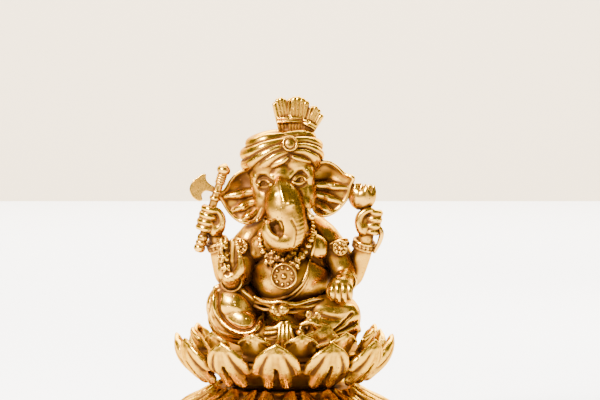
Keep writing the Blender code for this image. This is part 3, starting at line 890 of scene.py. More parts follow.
TUSKS = [("right_tusk", "whole_tusk", 1, 0.55), ("left_tusk_stub", "broken_tusk", -1, 1.2)]
for node, name, inward, tip_radius in TUSKS:
    low, high = corners(node)
    inner_x, outer_x = (high.x, low.x) if inward > 0 else (low.x, high.x)
    root, end = Vector((inner_x, high.y, high.z)), Vector((outer_x, low.y, low.z))
    bend = (root + end) / 2 + Vector((-inward * 0.3, -0.2, -0.6))
    clay = Clay()
    clay.limb([(*root, 1.5), (*bend, 1.35), (*end, tip_radius)], count=12)
    finish(name, clay.fuse(0.2, relax=1), "pale_gold_tusk", node)

# %% Eyes: an almond ball with a ringed iris

IRIS = 0.76
for node, spot in eye_spots.items():
    centre = spot + Vector((0, 1.05, -0.1))
    clay = Clay()
    clay.ball(centre, (1.95, 1.5, 1.2), HEAD_TURN, finish=4)
    skin = clay.fuse(0.12, relax=1)
    front = centre + Vector((0.1, -1.5, 0.05))
    turns = np.linspace(0, math.tau, 20)
    ring = [front + Vector((math.cos(t) * IRIS, 0, math.sin(t) * IRIS)) for t in turns]
    press(skin, [ring], 0.16, -0.30, count=60)
    swell(skin, front, 0.36, -0.50)
    finish(node + "_ball", skin, "antique_gold_eye", node)

# %% [markdown]
# ## Torso
#
# The body is a big round belly under a broad chest, with soft breasts whose lower edges fold over. The
# folds are drawn as they are seen from the front.

# %% Torso

clay = Clay()
clay.ball(at(1.9, -3.2, 57.8), (13.6, 13.0, 11.4), finish=4)
clay.ball(at(2.0, 3.6, 58.0), (16.8, 8.2, 12.0), finish=4)
clay.ball(at(1.4, 1.4, 68.5), (12.6, 10.4, 10.4))
clay.ball(at(1.3, 3.2, 74.6), (12.2, 7.4, 5.4))
clay.ball(at(1.5, 2.0, 51.0), (14.4, 12.2, 6.0))
for x in (-6.4, 9.4):
    clay.ball(at(x, -7.2, 68.0), (5.8, 4.2, 5.2))
clay.ball(at(0.0, 1.6, 79.0), (7.5, 7.0, 5.0))
skin = clay.fuse(0.36, relax=16)
folds = [[(-11.6, 61.6), (-8.6, 63.8), (-5.2, 65.0)], [(8.0, 65.2), (11.4, 63.6), (15.0, 61.0)]]
waist = [[(-10.4, 52.6), (-4.0, 49.4), (2.0, 48.6), (9.0, 49.8), (14.0, 53.0)]]
draw(skin, (folds, 0.75, -1.0), (waist, 1.0, -0.6))
backbone = [at(1.2, 20, z) for z in (77, 66, 54)]
press(skin, [backbone], 1.6, -1.2)
for side in (-1, 1):
    swell(skin, at(1.4 + side * 6.2, 11.5, 70.5), 4.2, 0.9)
torso_tree = tree_of(skin)
finish("torso_skin", skin, "antique_gold_skin", "torso")

# %% [markdown]
# ## Arms and hands
#
# Each arm is one casting from shoulder to fingertips. A closed hand is built round the thing that it grips:
# every finger is an arc about the grip's own axis, and the palm and thumb close it from the wrist's side.

# %% A fist round a shaft, a round flower, and the end of every arm


def fist(clay, centre, along, inward, grip):
    """Four fingers round a shaft of radius grip. inward points across the shaft to the palm."""
    centre, along, inward = Vector(centre), Vector(along).normalized(), Vector(inward).normalized()
    facing = Vector((0, -1, 0))
    reach = grip + 0.95
    for offset, thick in ((3.5, 1.12), (1.25, 1.2), (-1.05, 1.16), (-3.15, 1.0)):
        points = []
        for degrees, swelling in ((235, 1.0), (192, 1.12), (150, 1.0), (108, 1.1), (66, 1.0), (40, 0.86)):
            turn = math.radians(degrees)
            across = inward * math.cos(turn) + facing * math.sin(turn)
            points.append((*(centre + along * offset + across * reach), thick * swelling))
        clay.limb(points, count=12, segments=12)
    clay.ball(centre + inward * 3.2 + along * -0.4 - facing * 0.1, Vector((3.0, 2.5, 4.4)))
    clay.ball(centre + inward * 3.0 + along * -2.2 + facing * 1.0, Vector((2.5, 2.0, 2.6)))
    clay.ball(centre + inward * 0.4 - facing * 2.2, Vector((3.4, 1.6, 4.2)))
    thumb = []
    for across, up, out, thick in (
        (3.2, -3.0, 1.3, 1.7),
        (4.7, -0.6, 1.6, 1.5),
        (4.4, 1.9, 1.9, 1.25),
        (2.9, 3.6, 2.1, 1.1),
        (1.2, 4.4, 2.2, 0.85),
    ):
        thumb.append((*(centre + (inward * across + along * up + facing * out)), thick))
    clay.limb(thumb, count=12)


def spokes(facing, count):
    """Unit spokes of a wheel whose axle points along facing."""
    side = facing.cross(Vector((0, 0, 1))).normalized()
    rise = side.cross(facing)
    turns = [math.tau * number / count for number in range(count)]
    return [side * math.cos(turn) + rise * math.sin(turn) for turn in turns]


def rosette(clay, centre, facing, radius, petals, plump):
    """A round flower: a ring of beads about a boss, facing out from the body."""
    facing = Vector(facing).normalized()
    clay.ball(centre, radius * 0.45, finish=2)
    for spoke in spokes(facing, petals):
        place = Vector(centre) + spoke * (radius - plump) - facing * 0.15
        clay.ball(place, plump * 0.8 + 0.12, finish=2)


def finish_arm(name, skin, arm):
    finish(name, skin, "antique_gold_skin", *[f"{arm}_{part}" for part in ("upper_arm", "forearm", "hand")])


# %% Rear right arm, with the hand that holds the axe

axe_low, axe_high = corners("axe_shaft")
AXE_FOOT = Vector((axe_low.x + 2.4, (axe_low.y + axe_high.y) / 2, axe_low.z + 2.6))
AXE_TOP = Vector((axe_high.x - 0.9, (axe_low.y + axe_high.y) / 2, axe_high.z - 0.6))
AXE_AXIS = (AXE_TOP - AXE_FOOT).normalized()
REAR_ARM = dict(count=34, finish=3, segments=24)
FRONT_ARM = dict(count=32, finish=3, segments=24)

route = spots(
    FOOT,
    (-8.6, 4.6, 73.8, 4.4),
    (-14.2, 5.4, 67.4, 4.6),
    (-18.2, 4.2, 60.8, 4.3),
    (-19.6, 1.6, 58.2, 3.9),
    (-20.8, -0.8, 62.4, 3.7),
    (-22.2, -2.8, 67.6, 3.1),
    (-23.0, -4.2, 71.4, 2.6),
    (-23.6, -4.6, 73.6, 2.6),
)
clay = Clay()
clay.limb(route, **REAR_ARM)
AXE_GRIP = AXE_FOOT.lerp(AXE_TOP, 0.345)
fist(clay, AXE_GRIP, AXE_AXIS, AXE_AXIS.cross(Vector((0, -1, 0))), 1.6)
finish_arm("rear_right_arm", clay.fuse(0.27, relax=2), "right_rear")

# %% Rear left arm, with the hand that holds the bud

route = spots(
    FOOT,
    (11.0, 4.8, 74.2, 4.4),
    (16.6, 5.6, 67.8, 4.6),
    (21.2, 4.6, 60.6, 4.3),
    (22.8, 2.2, 57.8, 3.9),
    (24.8, -0.2, 62.2, 3.7),
    (26.8, -1.8, 67.2, 3.2),
    (27.6, -2.8, 70.8, 2.7),
    (27.8, -3.2, 73.2, 2.6),
)
clay = Clay()
clay.limb(route, **REAR_ARM)
fist(clay, near("left_rear_hand", 2.2, -1.4, 0.0), (0.16, 0, 1), (-1, 0, 0.16), 0.9)
finish_arm("rear_left_arm", clay.fuse(0.27, relax=2), "left_rear")

# %% Front right arm: the blessing hand, palm out, with a chain of flowers over it

route = spots(
    FOOT,
    (-7.8, 0.4, 74.0, 4.6),
    (-11.2, -2.2, 70.6, 4.9),
    (-13.4, -4.2, 64.2, 4.4),
    (-14.6, -6.2, 58.8, 4.0),
    (-16.4, -9.8, 57.0, 3.5),
    (-17.8, -13.2, 57.8, 2.9),
    (-18.1, -14.8, 60.0, 2.5),
)
clay = Clay()
clay.limb(route, **FRONT_ARM)
PALM = middle("right_front_hand")
clay.ball(PALM + Vector((-0.4, 0.4, -0.8)), (3.9, 1.6, 5.0))
clay.ball(PALM + Vector((0.6, -0.3, -5.0)), (3.3, 2.1, 2.4))
clay.ball(PALM + Vector((-2.6, -0.2, -3.0)), (1.6, 1.5, 3.0))
for across, top, thick in ((-3.1, 6.2, 0.95), (-1.2, 7.6, 1.05), (0.8, 7.2, 1.05), (2.5, 5.6, 0.95)):
    finger = spots(
        PALM,
        (across * 0.9, -0.2, 0.5, thick * 1.1),
        (across, -0.3, top * 0.6, thick),
        (across * 1.02, -0.9, top, thick * 0.8),
    )
    clay.limb(finger, count=9)
thumb = [(2.2, -1.0, -4.6, 1.8), (3.5, -1.6, -2.4, 1.7), (3.6, -2.0, 0.4, 1.2), (3.0, -2.1, 3.6, 0.6)]
clay.limb(spots(PALM, *thumb), count=12)
for x, z, size in ((-2.5, 5.9, 2.3), (-2.2, 1.9, 2.4), (-1.3, -1.9, 1.8)):
    rosette(clay, PALM + Vector((x, -2.0, z)), (0, -1, 0.1), size, petals=5, plump=size * 0.36)
skin = clay.fuse(0.24, relax=1)
swell(skin, PALM + Vector((-1.0, -2.6, -3.8)), 0.8, -0.9)
swell(skin, PALM + Vector((-0.6, -2.6, 3.6)), 0.7, -0.8)
finish_arm("front_right_arm", skin, "right_front")

# %% Front left arm: the hand rests on the knee, fingers down

route = spots(
    FOOT,
    (10.4, 1.0, 74.2, 4.6),
    (14.2, -1.2, 70.8, 4.9),
    (17.8, -2.8, 64.4, 4.4),
    (19.8, -4.2, 60.2, 4.0),
    (20.8, -6.8, 58.2, 3.3),
    (20.2, -9.4, 57.6, 2.9),
)
clay = Clay()
clay.limb(route, **FRONT_ARM)
KNUCKLES = near("left_front_hand", -0.6, -0.6, 1.8)
clay.ball(KNUCKLES, (4.0, 4.0, 2.7))
for across, low, thick in ((-3.0, -4.8, 1.1), (-1.1, -5.6, 1.15), (0.9, -5.6, 1.15), (2.8, -4.9, 1.05)):
    finger = spots(
        KNUCKLES,
        (across * 0.85, -2.2, 0.2, thick * 1.1),
        (across, -3.9, -1.6, thick * 1.1),
        (across * 1.03, -4.3, low * 0.72, thick * 0.95),
        (across * 1.03, -3.9, low, thick * 0.8),
    )
    clay.limb(finger, count=11)
thumb = [(-3.2, -0.6, -0.6, 1.4), (-4.2, -2.4, -2.4, 1.1), (-4.0, -3.2, -4.0, 0.9)]
clay.limb(spots(KNUCKLES, *thumb), count=8)
finish_arm("front_left_arm", clay.fuse(0.26, relax=2), "left_front")

# %% [markdown]
# ## Hips and crossed legs in a wrapped cloth
#
# The legs are crossed under the belly and wrapped in cloth. The cloth is pulled open over the right knee,
# so the bare knee shows as an egg inside a rimmed oval. Long folds sweep from the knee round to the ankle.

# %% Right leg, with the bare knee in its opening

THIGH = dict(count=12, finish=4, segments=32)
SHIN = dict(count=16, finish=3, segments=24)
clay = Clay()
clay.limb(spots(FOOT, (-7, 5, 46.4, 8.4), (-13, 0, 48.2, 8.8), (-17.8, -4.4, 48.0, 8.7)), **THIGH)
clay.limb(spots(FOOT, (-18.0, -6, 44.6, 8.0), (-13, -11.6, 41.2, 6.2), (-5.5, -14.8, 38.4, 4.0)), **SHIN)
clay.ball(at(-17.0, -7.6, 48.7), (9.2, 7.6, 8.4), finish=4)
skin = clay.fuse(0.33, relax=5)
knee_rim = [
    (-21.8, 53.6), (-18.6, 55.2), (-14.6, 53.6), (-10.6, 49.8), (-8.6, 45.6),
    (-10.6, 42.2), (-14.6, 41.4), (-18.8, 43.4), (-21.8, 47.8), (-21.8, 53.6),
]
knee_loop = over(tree_of(skin), knee_rim, count=60)
press(skin, [knee_loop], 0.8, -0.95, project=False, count=60)
dab(skin, (-17.2, 49.4, 3.6, 0.9), (-13.4, 45.8, 3.2, 0.9))
outer_rim = [(x + (x + 15.4) * 0.20, z + (z - 48.2) * 0.18) for x, z in knee_rim]
sweeps = [
    [(-24.9, 51.0), (-25.2, 45.6), (-22.6, 40.2), (-16.0, 37.8), (-8.0, 38.0)],
    [(-25.6, 43.6), (-22.2, 38.2), (-14.0, 35.8), (-6.6, 36.2)],
    [(-6.8, 52.6), (-5.0, 47.6), (-4.4, 42.4)],
]
roll = [(-25.2, 47.6), (-23.0, 41.0), (-16.0, 38.9), (-8.6, 39.4)]
draw(skin, ([outer_rim[:6], outer_rim[4:]], 0.6, 0.95), (sweeps, 0.6, -0.95), ([roll], 0.6, 0.4))
finish("right_leg_cloth", skin, "antique_gold_cloth", "right_leg")

# %% Left leg, with folds gathered behind the knee

clay = Clay()
clay.limb(spots(FOOT, (7, 3, 45.4, 7.6), (13.6, -0.4, 45.4, 8.2), (18.2, -4.8, 44.6, 7.9)), **THIGH)
clay.limb(spots(FOOT, (19.0, -6.4, 42.0, 6.8), (13, -11.6, 41.0, 6.0), (6, -14.4, 38.0, 3.9)), **SHIN)
clay.ball(at(14.4, -8.2, 46.0), (11.4, 7.0, 6.4), Matrix.Rotation(math.radians(5), 3, "Y"), finish=4)
skin = clay.fuse(0.33, relax=5)
gathers = [
    [(16.6, 40.6), (19.6, 43.0), (23.2, 46.4)],
    [(16.6, 39.6), (20.4, 41.2), (24.6, 43.2)],
    [(16.4, 38.6), (20.4, 38.8), (24.4, 39.6)],
    [(15.6, 37.4), (19.2, 36.6), (22.6, 36.0)],
]
upper_fold = [(7.4, 47.4), (13.0, 46.0), (18.0, 45.0), (22.4, 46.2)]
upper_roll = [(7.6, 49.6), (13.0, 48.8), (18.0, 48.6), (23.4, 48.8)]
draw(skin, (gathers, 0.55, -0.8), ([upper_fold], 0.8, -0.25), ([upper_roll], 1.2, 0.25))
finish("left_leg_cloth", skin, "antique_gold_cloth", "left_leg")

# %% Hips, with a few soft creases in the cloth at the back

HIPS, wide = middle("hips"), half_size("hips")
clay = Clay()
clay.ball(HIPS + Vector((0, 0.6, 0.4)), (wide.x, wide.y - 0.6, wide.z + 0.6), finish=4)
clay.ball(HIPS + Vector((0, 2.4, -5.0)), (wide.x - 2.0, wide.y - 3.0, 4.6), finish=4)
skin = clay.fuse(0.42, relax=14)
for top, bottom, depth in ((-58, -34, 0.5), (-24, -6, 0.35), (18, 4, 0.45), (52, 30, 0.5)):
    fold = []
    for share in (0.0, 0.35, 0.7, 1.0):
        turn = math.radians(top + (bottom - top) * share)
        fold.append(HIPS + Vector((math.sin(turn) * 20, math.cos(turn) * 20, 5.5 - 12.5 * share)))
    press(skin, [fold], 1.0, -depth)
waistband = [HIPS + Vector((math.sin(t) * 22, math.cos(t) * 18, 5.6)) for t in np.linspace(-1.7, 1.7, 18)]
press(skin, [waistband], 0.8, 0.8, count=40)
finish("hips_cloth", skin, "antique_gold_cloth", "hips")

# %% Feet with five toes each

for node, way in (("left_foot", 1), ("right_foot", -1)):
    home, half = middle(node), half_size(node)
    clay = Clay()
    sole = (half.x * 0.72, half.y * 0.86, half.z * 0.80)
    clay.ball(home + Vector((-way * half.x * 0.30, 0.4, -0.1)), sole)
    for number in range(5):
        share = number / 4
        reach = half.x * (0.92 - 0.26 * share)
        root = home + Vector((way * half.x * 0.12, -half.y * 0.25, half.z * (0.72 - share * 1.35)))
        end = home + Vector((way * reach, -half.y * 0.42, half.z * (0.62 - share * 1.30)))
        thick = 1.0 - 0.13 * number
        clay.limb([(*root, thick), (*root.lerp(end, 0.5), thick * 0.85), (*end, thick)], count=7)
    finish(node + "_bare", clay.fuse(0.24, relax=1), "antique_gold_skin", node)

# %% [markdown]
# ## Ornaments
#
# Beads, garland and thread lie on the body, so each follows the torso's skin at its own height above it.
# The medallion, sash and bracelets are placed from their own solids. All stay separate lumps that just sink
# into one another, as cast jewellery does.

# %% Bead strand and flower garland

BEAD_GAP = 1.72
clay = Clay()
strands = [
    [(-6.4, 76.4), (-7.4, 73.6), (-7.9, 70.6), (-7.2, 67.8), (-5.4, 65.8), (-3.4, 64.2)],
    [(8.6, 78.0), (9.4, 74.6), (9.2, 71.4), (8.0, 68.6), (6.4, 66.2), (5.2, 64.0)],
]
for strand in strands:
    last, number = None, 0
    for place in over(torso_tree, strand, 0.55, count=200):
        size = 0.92 + 0.05 * number
        if last is None or (place - last).length > size * BEAD_GAP:
            clay.ball(place, size)
            last, number = place, number + 1
garland = [
    (-5.2, 66.2, 1.3), (-4.4, 64.4, 1.4), (-3.4, 62.8, 1.4), (-1.8, 61.8, 1.3), (0.4, 61.9, 1.5),
    (2.4, 62.4, 1.5), (4.0, 63.4, 1.6), (5.4, 64.8, 1.4), (6.2, 66.6, 1.3), (3.6, 66.6, 1.3),
    (1.2, 67.2, 1.3), (-1.2, 67.0, 1.3), (-3.2, 65.4, 1.5), (2.8, 65.0, 1.6), (-1.8, 64.0, 1.5),
    (0.2, 63.4, 1.4), (1.8, 64.2, 1.5), (3.9, 61.8, 1.3), (-4.9, 63.0, 1.2), (-0.4, 65.2, 1.4),
]
for number, (x, z, size) in enumerate(garland):
    look = (0.3 * math.sin(number * 2.1), -1, 0.25 * math.cos(number * 1.7))
    for place in over(torso_tree, [(x, z)], 1.5):
        rosette(clay, place, look, size, petals=5, plump=size * 0.42)
finish("beads_and_garland", clay.fuse(0.19, relax=0), "antique_gold_ornament", "bead_strand")

# %% Medallion: a rim with a row of small beads, nine larger beads inside it and a boss

medal = middle("pendant")
medal_rim = half_size("pendant").z + 0.2
look = Vector((-0.10, -0.99, 0.04)).normalized()
edge = stepped(medal_rim, 0, (-0.3, -1.2), (0, -0.3), (-0.1, 0.45), (-0.55, 0.75), (-0.95, 0.3), (-1.3, 0.1))
clay = Clay()
clay.add(turned([(0, -1.2), *edge, (0, 0.25)], 72), pointing(look, medal))
for ring, count, size in ((medal_rim - 0.5, 30, 0.34), (medal_rim - 1.75, 9, 0.52)):
    for spoke in spokes(look, count):
        clay.ball(medal + spoke * ring + look * 0.35, size, finish=2)
clay.ball(medal + look * 0.2, 0.95)
finish("medallion", clay.fuse(0.14, relax=0), "antique_gold_ornament", "pendant")

# %% Sacred thread: one cord over the shoulder that splits in two under the belly

clay = Clay()
cord = [
    (10.8, 76.6), (10.4, 72.0), (9.6, 67.4), (8.4, 63.6), (7.6, 60.0),
    (5.4, 56.0), (1.4, 52.6), (-4.2, 51.0), (-9.8, 52.2),
]
second_cord = [(x + 0.5, z - 1.15) for x, z in cord[4:]]
for route, thick in ((cord, 0.58), (second_cord, 0.5)):
    clay.limb([(*p, thick) for p in over(torso_tree, route, 0.3, count=70)], count=110, segments=10)
finish("thread_cord", clay.fuse(0.17, relax=1), "antique_gold_ornament", "sacred_thread")

# %% Sash: soft folds under the belly, a knot of two loops, and loose ends

SASH_REACH = 11.4
clay = Clay()
sash = near("waist_sash", 0, 0, 0.7)
for drop, thick in ((1.6, 0.8), (0.2, 0.85), (-1.2, 0.75)):
    band = []
    for step in range(9):
        share = step / 8 * 2 - 1
        sag = 1.6 * share**2 + 0.35 * math.sin(share * 7 + drop * 2)
        depth = -0.6 + 4.4 * share**2 - drop * 0.35
        band.append((share * SASH_REACH, depth, drop + sag - 0.4, thick * (1.0 - 0.25 * abs(share))))
    clay.limb(spots(sash, *band), count=34, segments=12)
finish("sash_folds", clay.fuse(0.24, relax=1), "antique_gold_cloth", "waist_sash")

knot = near("sash_knot", 0, 0, 1.2)
clay = Clay()
clay.ball(knot + Vector((-1.7, -0.6, 0.1)), (1.75, 1.8, 2.2), Matrix.Rotation(math.radians(-14), 3, "Y"))
clay.ball(knot + Vector((1.3, -0.9, 0.2)), (2.0, 1.9, 2.3), Matrix.Rotation(math.radians(12), 3, "Y"))
clay.ball(knot + Vector((-0.3, -0.8, -1.4)), (1.3, 1.5, 1.1))
skin = clay.fuse(0.2, relax=1)
tucks = [(-1.9, 1.6, -2.0, -1.6), (0.9, 1.9, 0.7, -1.8), (2.1, 1.6, 1.8, -1.5)]
tucks = [[knot + Vector((x0, -6, z0)), knot + Vector((x1, -6, z1))] for x0, z0, x1, z1 in tucks]
press(skin, tucks[:1], 0.3, -0.3)
press(skin, tucks[1:], 0.3, -0.35)
finish("sash_bow", skin, "antique_gold_cloth", "sash_knot")

clay = Clay()
ends = middle("sash_ends")
for x0, x1, low, thick in (
    (-1.6, -2.6, -3.6, 0.9),
    (-0.4, -0.6, -4.2, 1.0),
    (0.8, 1.4, -3.8, 0.95),
    (1.8, 4.0, -2.8, 0.85),
):
    strip = spots(
        ends,
        (x0, 0.6, 3.6, thick * 0.8),
        (x0 * 0.8 + x1 * 0.2, -0.6, 1.2, thick * 0.85),
        (x1 * 0.8, -1.0, -1.4, thick),
        (x1, -0.6, low, thick * 1.1),
    )
    clay.limb(strip, count=14, segments=12)
for way in (-1, 1):
    for lift, reach, thick in ((3.4, 6.0, 1.1), (1.8, 6.6, 1.0), (0.2, 6.0, 0.9)):
        drape = spots(
            ends,
            (way * 0.8, 1.0, lift + 0.8, thick),
            (way * reach * 0.5, 0.9, lift - 0.9, thick),
            (way * reach, 2.2, lift - 1.4, thick),
        )
        clay.limb(drape, count=12, segments=12)
finish("sash_tails", clay.fuse(0.22, relax=1), "antique_gold_cloth", "sash_ends")

# %% Bracelets and armlets: two rims with a row of beads between them


def cuff(clay, centre, axis, radius, width, beads, thick):
    axis = Vector(axis).normalized()
    side = axis.orthogonal().normalized()
    rise = axis.cross(side)

    def outward(turn):
        return side * math.cos(turn) + rise * math.sin(turn)

    for edge in (-1, 1):
        rim = centre + axis * edge * width / 2
        loop = [rim + outward(turn) * radius for turn in np.linspace(0, math.tau, 37)]
        for a, b in zip(loop, loop[1:]):
            clay.bone(a, b, thick, thick, 10)
            clay.ball(a, thick, finish=2)
    for number in range(beads):
        clay.ball(centre + outward(math.tau * number / beads) * (radius - 0.05), width * 0.36, finish=2)


FRONT_WRISTS = {"right_front": Vector((-0.25, -0.94, 0.2)), "left_front": Vector((-0.05, -0.95, -0.2))}
for arm in ("right_rear", "left_rear", "right_front", "left_front"):
    node = arm + "_bracelet"
    clay = Clay()
    if arm in FRONT_WRISTS:
        cuff(clay, middle(node), FRONT_WRISTS[arm], 3.45, 1.6, 18, thick=0.45)
    else:
        axis = middle(arm + "_hand") - middle(arm + "_forearm")
        cuff(clay, middle(node) + axis.normalized() * 1.0, axis, 3.45, 2.1, 16, thick=0.62)
    finish(node + "_beaded", clay.fuse(0.18, relax=0), "antique_gold_ornament", node)

FLOWER_DISC = [(0, -1.6), (2.5, -1.6), (2.75, -0.2), (2.4, 0.5), (1.9, 0.1), (0, 0.3)]
for node, way, shift in (("right_armlet", -1, (-2.0, -5.2, 0.6)), ("left_armlet", 1, (1.6, -5.4, 0.1))):
    clay = Clay()
    cuff(clay, middle(node), Vector((way * 0.45, -0.30, -1)), 4.75, 1.3, 26, thick=0.45)
    flower = near(node, *shift)
    look = Vector((way * 0.25, -1, 0.05)).normalized()
    clay.add(turned(FLOWER_DISC, 48), pointing(look, flower))
    rosette(clay, flower + look * 0.25, look, 2.15, petals=8, plump=0.55)
    clay.ball(flower + look * 0.4, 0.8)
    finish(node + "_flower", clay.fuse(0.19, relax=0), "antique_gold_ornament", node)

# %% [markdown]
# ## Axe, lotus bud and mouse
#
# The axe's shaft is turned: a pointed knob, a stack of fine rings, a plain neck with collars where the
# blade sits, and a fat banded grip end under the fist. The blade is a flat crescent with two horns.

# %% Axe

HANDLE = 31.3
profile = [
    (0, -1.2), (0.9, -1.1), (1.6, -0.4), (1.75, 0.6), (1.6, 1.2), (1.35, 1.3), (1.35, 1.5), (1.6, 1.7),
    (1.7, 2.4), (1.5, 2.9), (1.35, 3.0), (1.35, 3.3), (1.6, 3.5), (1.65, 4.6), (1.5, 5.0), (1.25, 5.2),
    (1.25, 17.6), (1.55, 17.9), (1.7, 18.4), (1.55, 18.9), (1.25, 19.2), (1.2, 20.4), (1.5, 20.6),
    (1.5, 21.0), (1.2, 21.2), (1.15, 23.6),
]
for ring in range(4):
    base = 23.8 + ring * 0.85
    profile += [(1.3, base), (1.55, base + 0.25), (1.5, base + 0.55), (1.3, base + 0.7)]
profile += [(1.4, 27.4), (1.85, 27.9), (2.05, 28.8), (1.75, 29.7), (1.0, 30.5), (0, HANDLE)]
stretch = ((AXE_TOP - AXE_FOOT).length + 2.0) / HANDLE
profile = [(radius * 1.16, height * stretch) for radius, height in profile]
clay = Clay()
clay.add(turned(profile, 32), pointing(AXE_AXIS, AXE_FOOT - AXE_AXIS * 0.6))
finish("axe_handle", clay.fuse(0.17, relax=0), "antique_gold_ornament", "axe_shaft")

crescent = [
    (4.6, 0.4), (3.0, 1.4), (1.9, 2.8), (1.8, 4.6), (0.6, 4.6), (-1.2, 3.4),
    (-2.9, 1.9), (-3.8, -0.2), (-3.3, -2.4), (-1.9, -3.9), (-0.3, -4.6), (0.6, -4.0),
    (0.4, -2.4), (1.4, -1.2), (3.0, -1.2), (4.4, -1.6),
]
edge = spots(middle("axe_blade"), *[(x, 0, z, 0) for x, z in crescent + crescent[:1]])
clay = Clay()
clay.add(plate(curve_through(edge, 90)[:-1], 1.1))
finish("axe_crescent", clay.fuse(0.17, relax=2), "antique_gold_ornament", "axe_blade")

# %% Lotus bud on its stem

BUD = middle("lotus_bud")
BUD_PETALS = 6
BUD_LEAN = Matrix.Translation(BUD) @ Matrix.Rotation(math.radians(6), 4, "Y")
BUD_SPINE = [(4.0, 4.4), (4.7, 1.8), (4.6, -0.8), (3.3, -3.2), (1.2, -4.4)]
clay = Clay()
clay.ball(BUD + Vector((0, 0, -0.6)), (3.6, 3.4, 3.0))
for ring, shrink in enumerate((1.0, 0.70)):
    one = Clay()
    petal_lumps(
        one,
        spine=[(radius * shrink, height) for radius, height in BUD_SPINE],
        half_widths=[0.2, 2.5, 3.2, 2.6, 1.5],
        plump=1.2,
        cup=0.09,
        strokes=[[(0.0, 0.0, 0.4), (0.0, 0.2, 0.7), (0.0, 0.5, 0.6)]],
    )
    for number in range(BUD_PETALS):
        turn = Matrix.Rotation(math.tau * (number + 0.25 + ring * 0.5) / BUD_PETALS, 4, "Z")
        clay.copied(one, BUD_LEAN @ turn)
stem = spots(
    BUD,
    (0.6, 0.4, -3.6, 1.1),
    (3.4, -1.2, -8.0, 0.95),
    (6.4, -1.6, -11.2, 0.9),
    (6.0, -1.2, -14.6, 0.85),
    (4.2, -0.6, -18.4, 0.6),
)
clay.limb(stem, count=20, segments=12)
finish("bud_and_stem", clay.fuse(0.2, relax=0), "antique_gold_ornament", "lotus_bud")

# %% Mouse, with its sweet

mouse_low, mouse_high = corners("mouse")
BODY = Vector((mouse_high.x - 5.2, -19.4, mouse_low.z + 4.9))
FACE = Vector((mouse_low.x + 4.2, -21.0, mouse_high.z - 3.0))
MOUSE_EARS = ((1.8, 2.0, 0.2), (-1.0, 2.3, -0.2))
clay = Clay()
clay.ball(BODY, (4.9, 2.9, 4.2), Matrix.Rotation(math.radians(28), 3, "Y"))
clay.ball(BODY + Vector((2.4, 0.2, -1.8)), (3.6, 2.8, 3.2))
clay.limb([*spots(BODY, (-1.6, 0, 1.6, 2.6)), *spots(FACE, (0.8, 0.2, -0.4, 2.1))], count=6)
clay.ball(FACE, (2.5, 1.9, 1.9))
clay.limb(spots(FACE, (-1.2, -0.4, -0.2, 1.4), (-3.4, -0.9, -0.9, 0.8)), count=6)
for x, z, lean in MOUSE_EARS:
    clay.ball(FACE + Vector((x, -0.4, z)), (1.15, 0.55, 1.5), Matrix.Rotation(lean, 3, "Y"))
for x0, z0, x1, z1 in ((-2.6, 0.4, -5.4, -0.6), (-3.0, -0.6, -5.6, -1.8)):
    clay.limb(spots(BODY, (x0, -1.8, z0, 0.95), (x1, -2.6, z1, 0.7)), count=6, segments=10)
clay.limb(spots(BODY, (3.0, -2.2, -2.8, 1.2), (-1.6, -2.8, -4.2, 0.9)), count=6)
tail = [(4.6, 0.2, -2.8, 0.8), (6.4, -1.2, -4.0, 0.6), (4.6, -3.0, -4.6, 0.5), (1.4, -3.4, -4.8, 0.4)]
clay.limb(spots(BODY, *tail), count=14, segments=10)
skin = clay.fuse(0.2, relax=1)
for x, z, _ in MOUSE_EARS:
    swell(skin, FACE + Vector((x, -1.0, z + 0.2)), 0.6, -0.4)
swell(skin, FACE + Vector((-1.4, -1.9, 0.4)), 0.4, 0.3)
backbone = [(BODY.x - 1.0, BODY.z + 3.4), (BODY.x + 2.6, BODY.z + 2.6), (BODY.x + 5.2, BODY.z - 1.6)]
draw(skin, ([backbone], 0.5, 0.4))
finish("mouse_sitting", skin, "antique_gold_skin", "mouse")

clay = Clay()
clay.ball(near("modak", 0, 0, -0.2), (1.55, 1.5, 1.4))
clay.limb(spots(middle("modak"), (0, 0, 0, 1.0), (0, 0, 1.9, 0.3)), count=5)
finish("sweet", clay.fuse(0.16, relax=1), "antique_gold_skin", "modak")

# %% [markdown]
# ## Where the brown wash stays
#
# The brown wash is brushed over everything and wiped off again. The cloth reaches the high places and not
# the hollows, so what is left follows the shape. Two measures of that are worked out for every vertex. The
# first is how much surface crowds round a point just above the skin: little over an open belly, much in a
# gap between petals. The second is how hollow the skin itself is, from each vertex and its neighbours, and
# it finds the fine creases.

# %% Crowding, from a grid of the whole figure

GRID = 0.5
MARGIN = 9.0


def blurred(grid, reach, passes=3):
    """A soft blur: running sums of reach cells, along each axis in turn."""
    for _ in range(passes):
        for axis in range(3):
            summed = np.cumsum(grid, axis=axis, dtype=np.float32)
            ahead = np.roll(summed, -reach, axis=axis)
            behind = np.roll(summed, reach + 1, axis=axis)
            grid = (ahead - behind) / (2 * reach + 1)
            edge = [slice(None)] * 3
            edge[axis] = slice(0, reach + 1)
            grid[tuple(edge)] = 0
            edge[axis] = slice(-reach - 1, None)
            grid[tuple(edge)] = 0
    return grid


def sample(grid, places, low):
    cells = (places - low) / GRID
    whole = np.clip(np.floor(cells).astype(int), 0, np.array(grid.shape) - 2)
    part = np.clip(cells - whole, 0, 1)
    value = np.zeros(len(places))
    for corner in np.ndindex(2, 2, 2):
        share = np.prod(np.where(corner, part, 1 - part), axis=1)
        at_corner = whole + corner
        value += share * grid[at_corner[:, 0], at_corner[:, 1], at_corner[:, 2]]
    return value


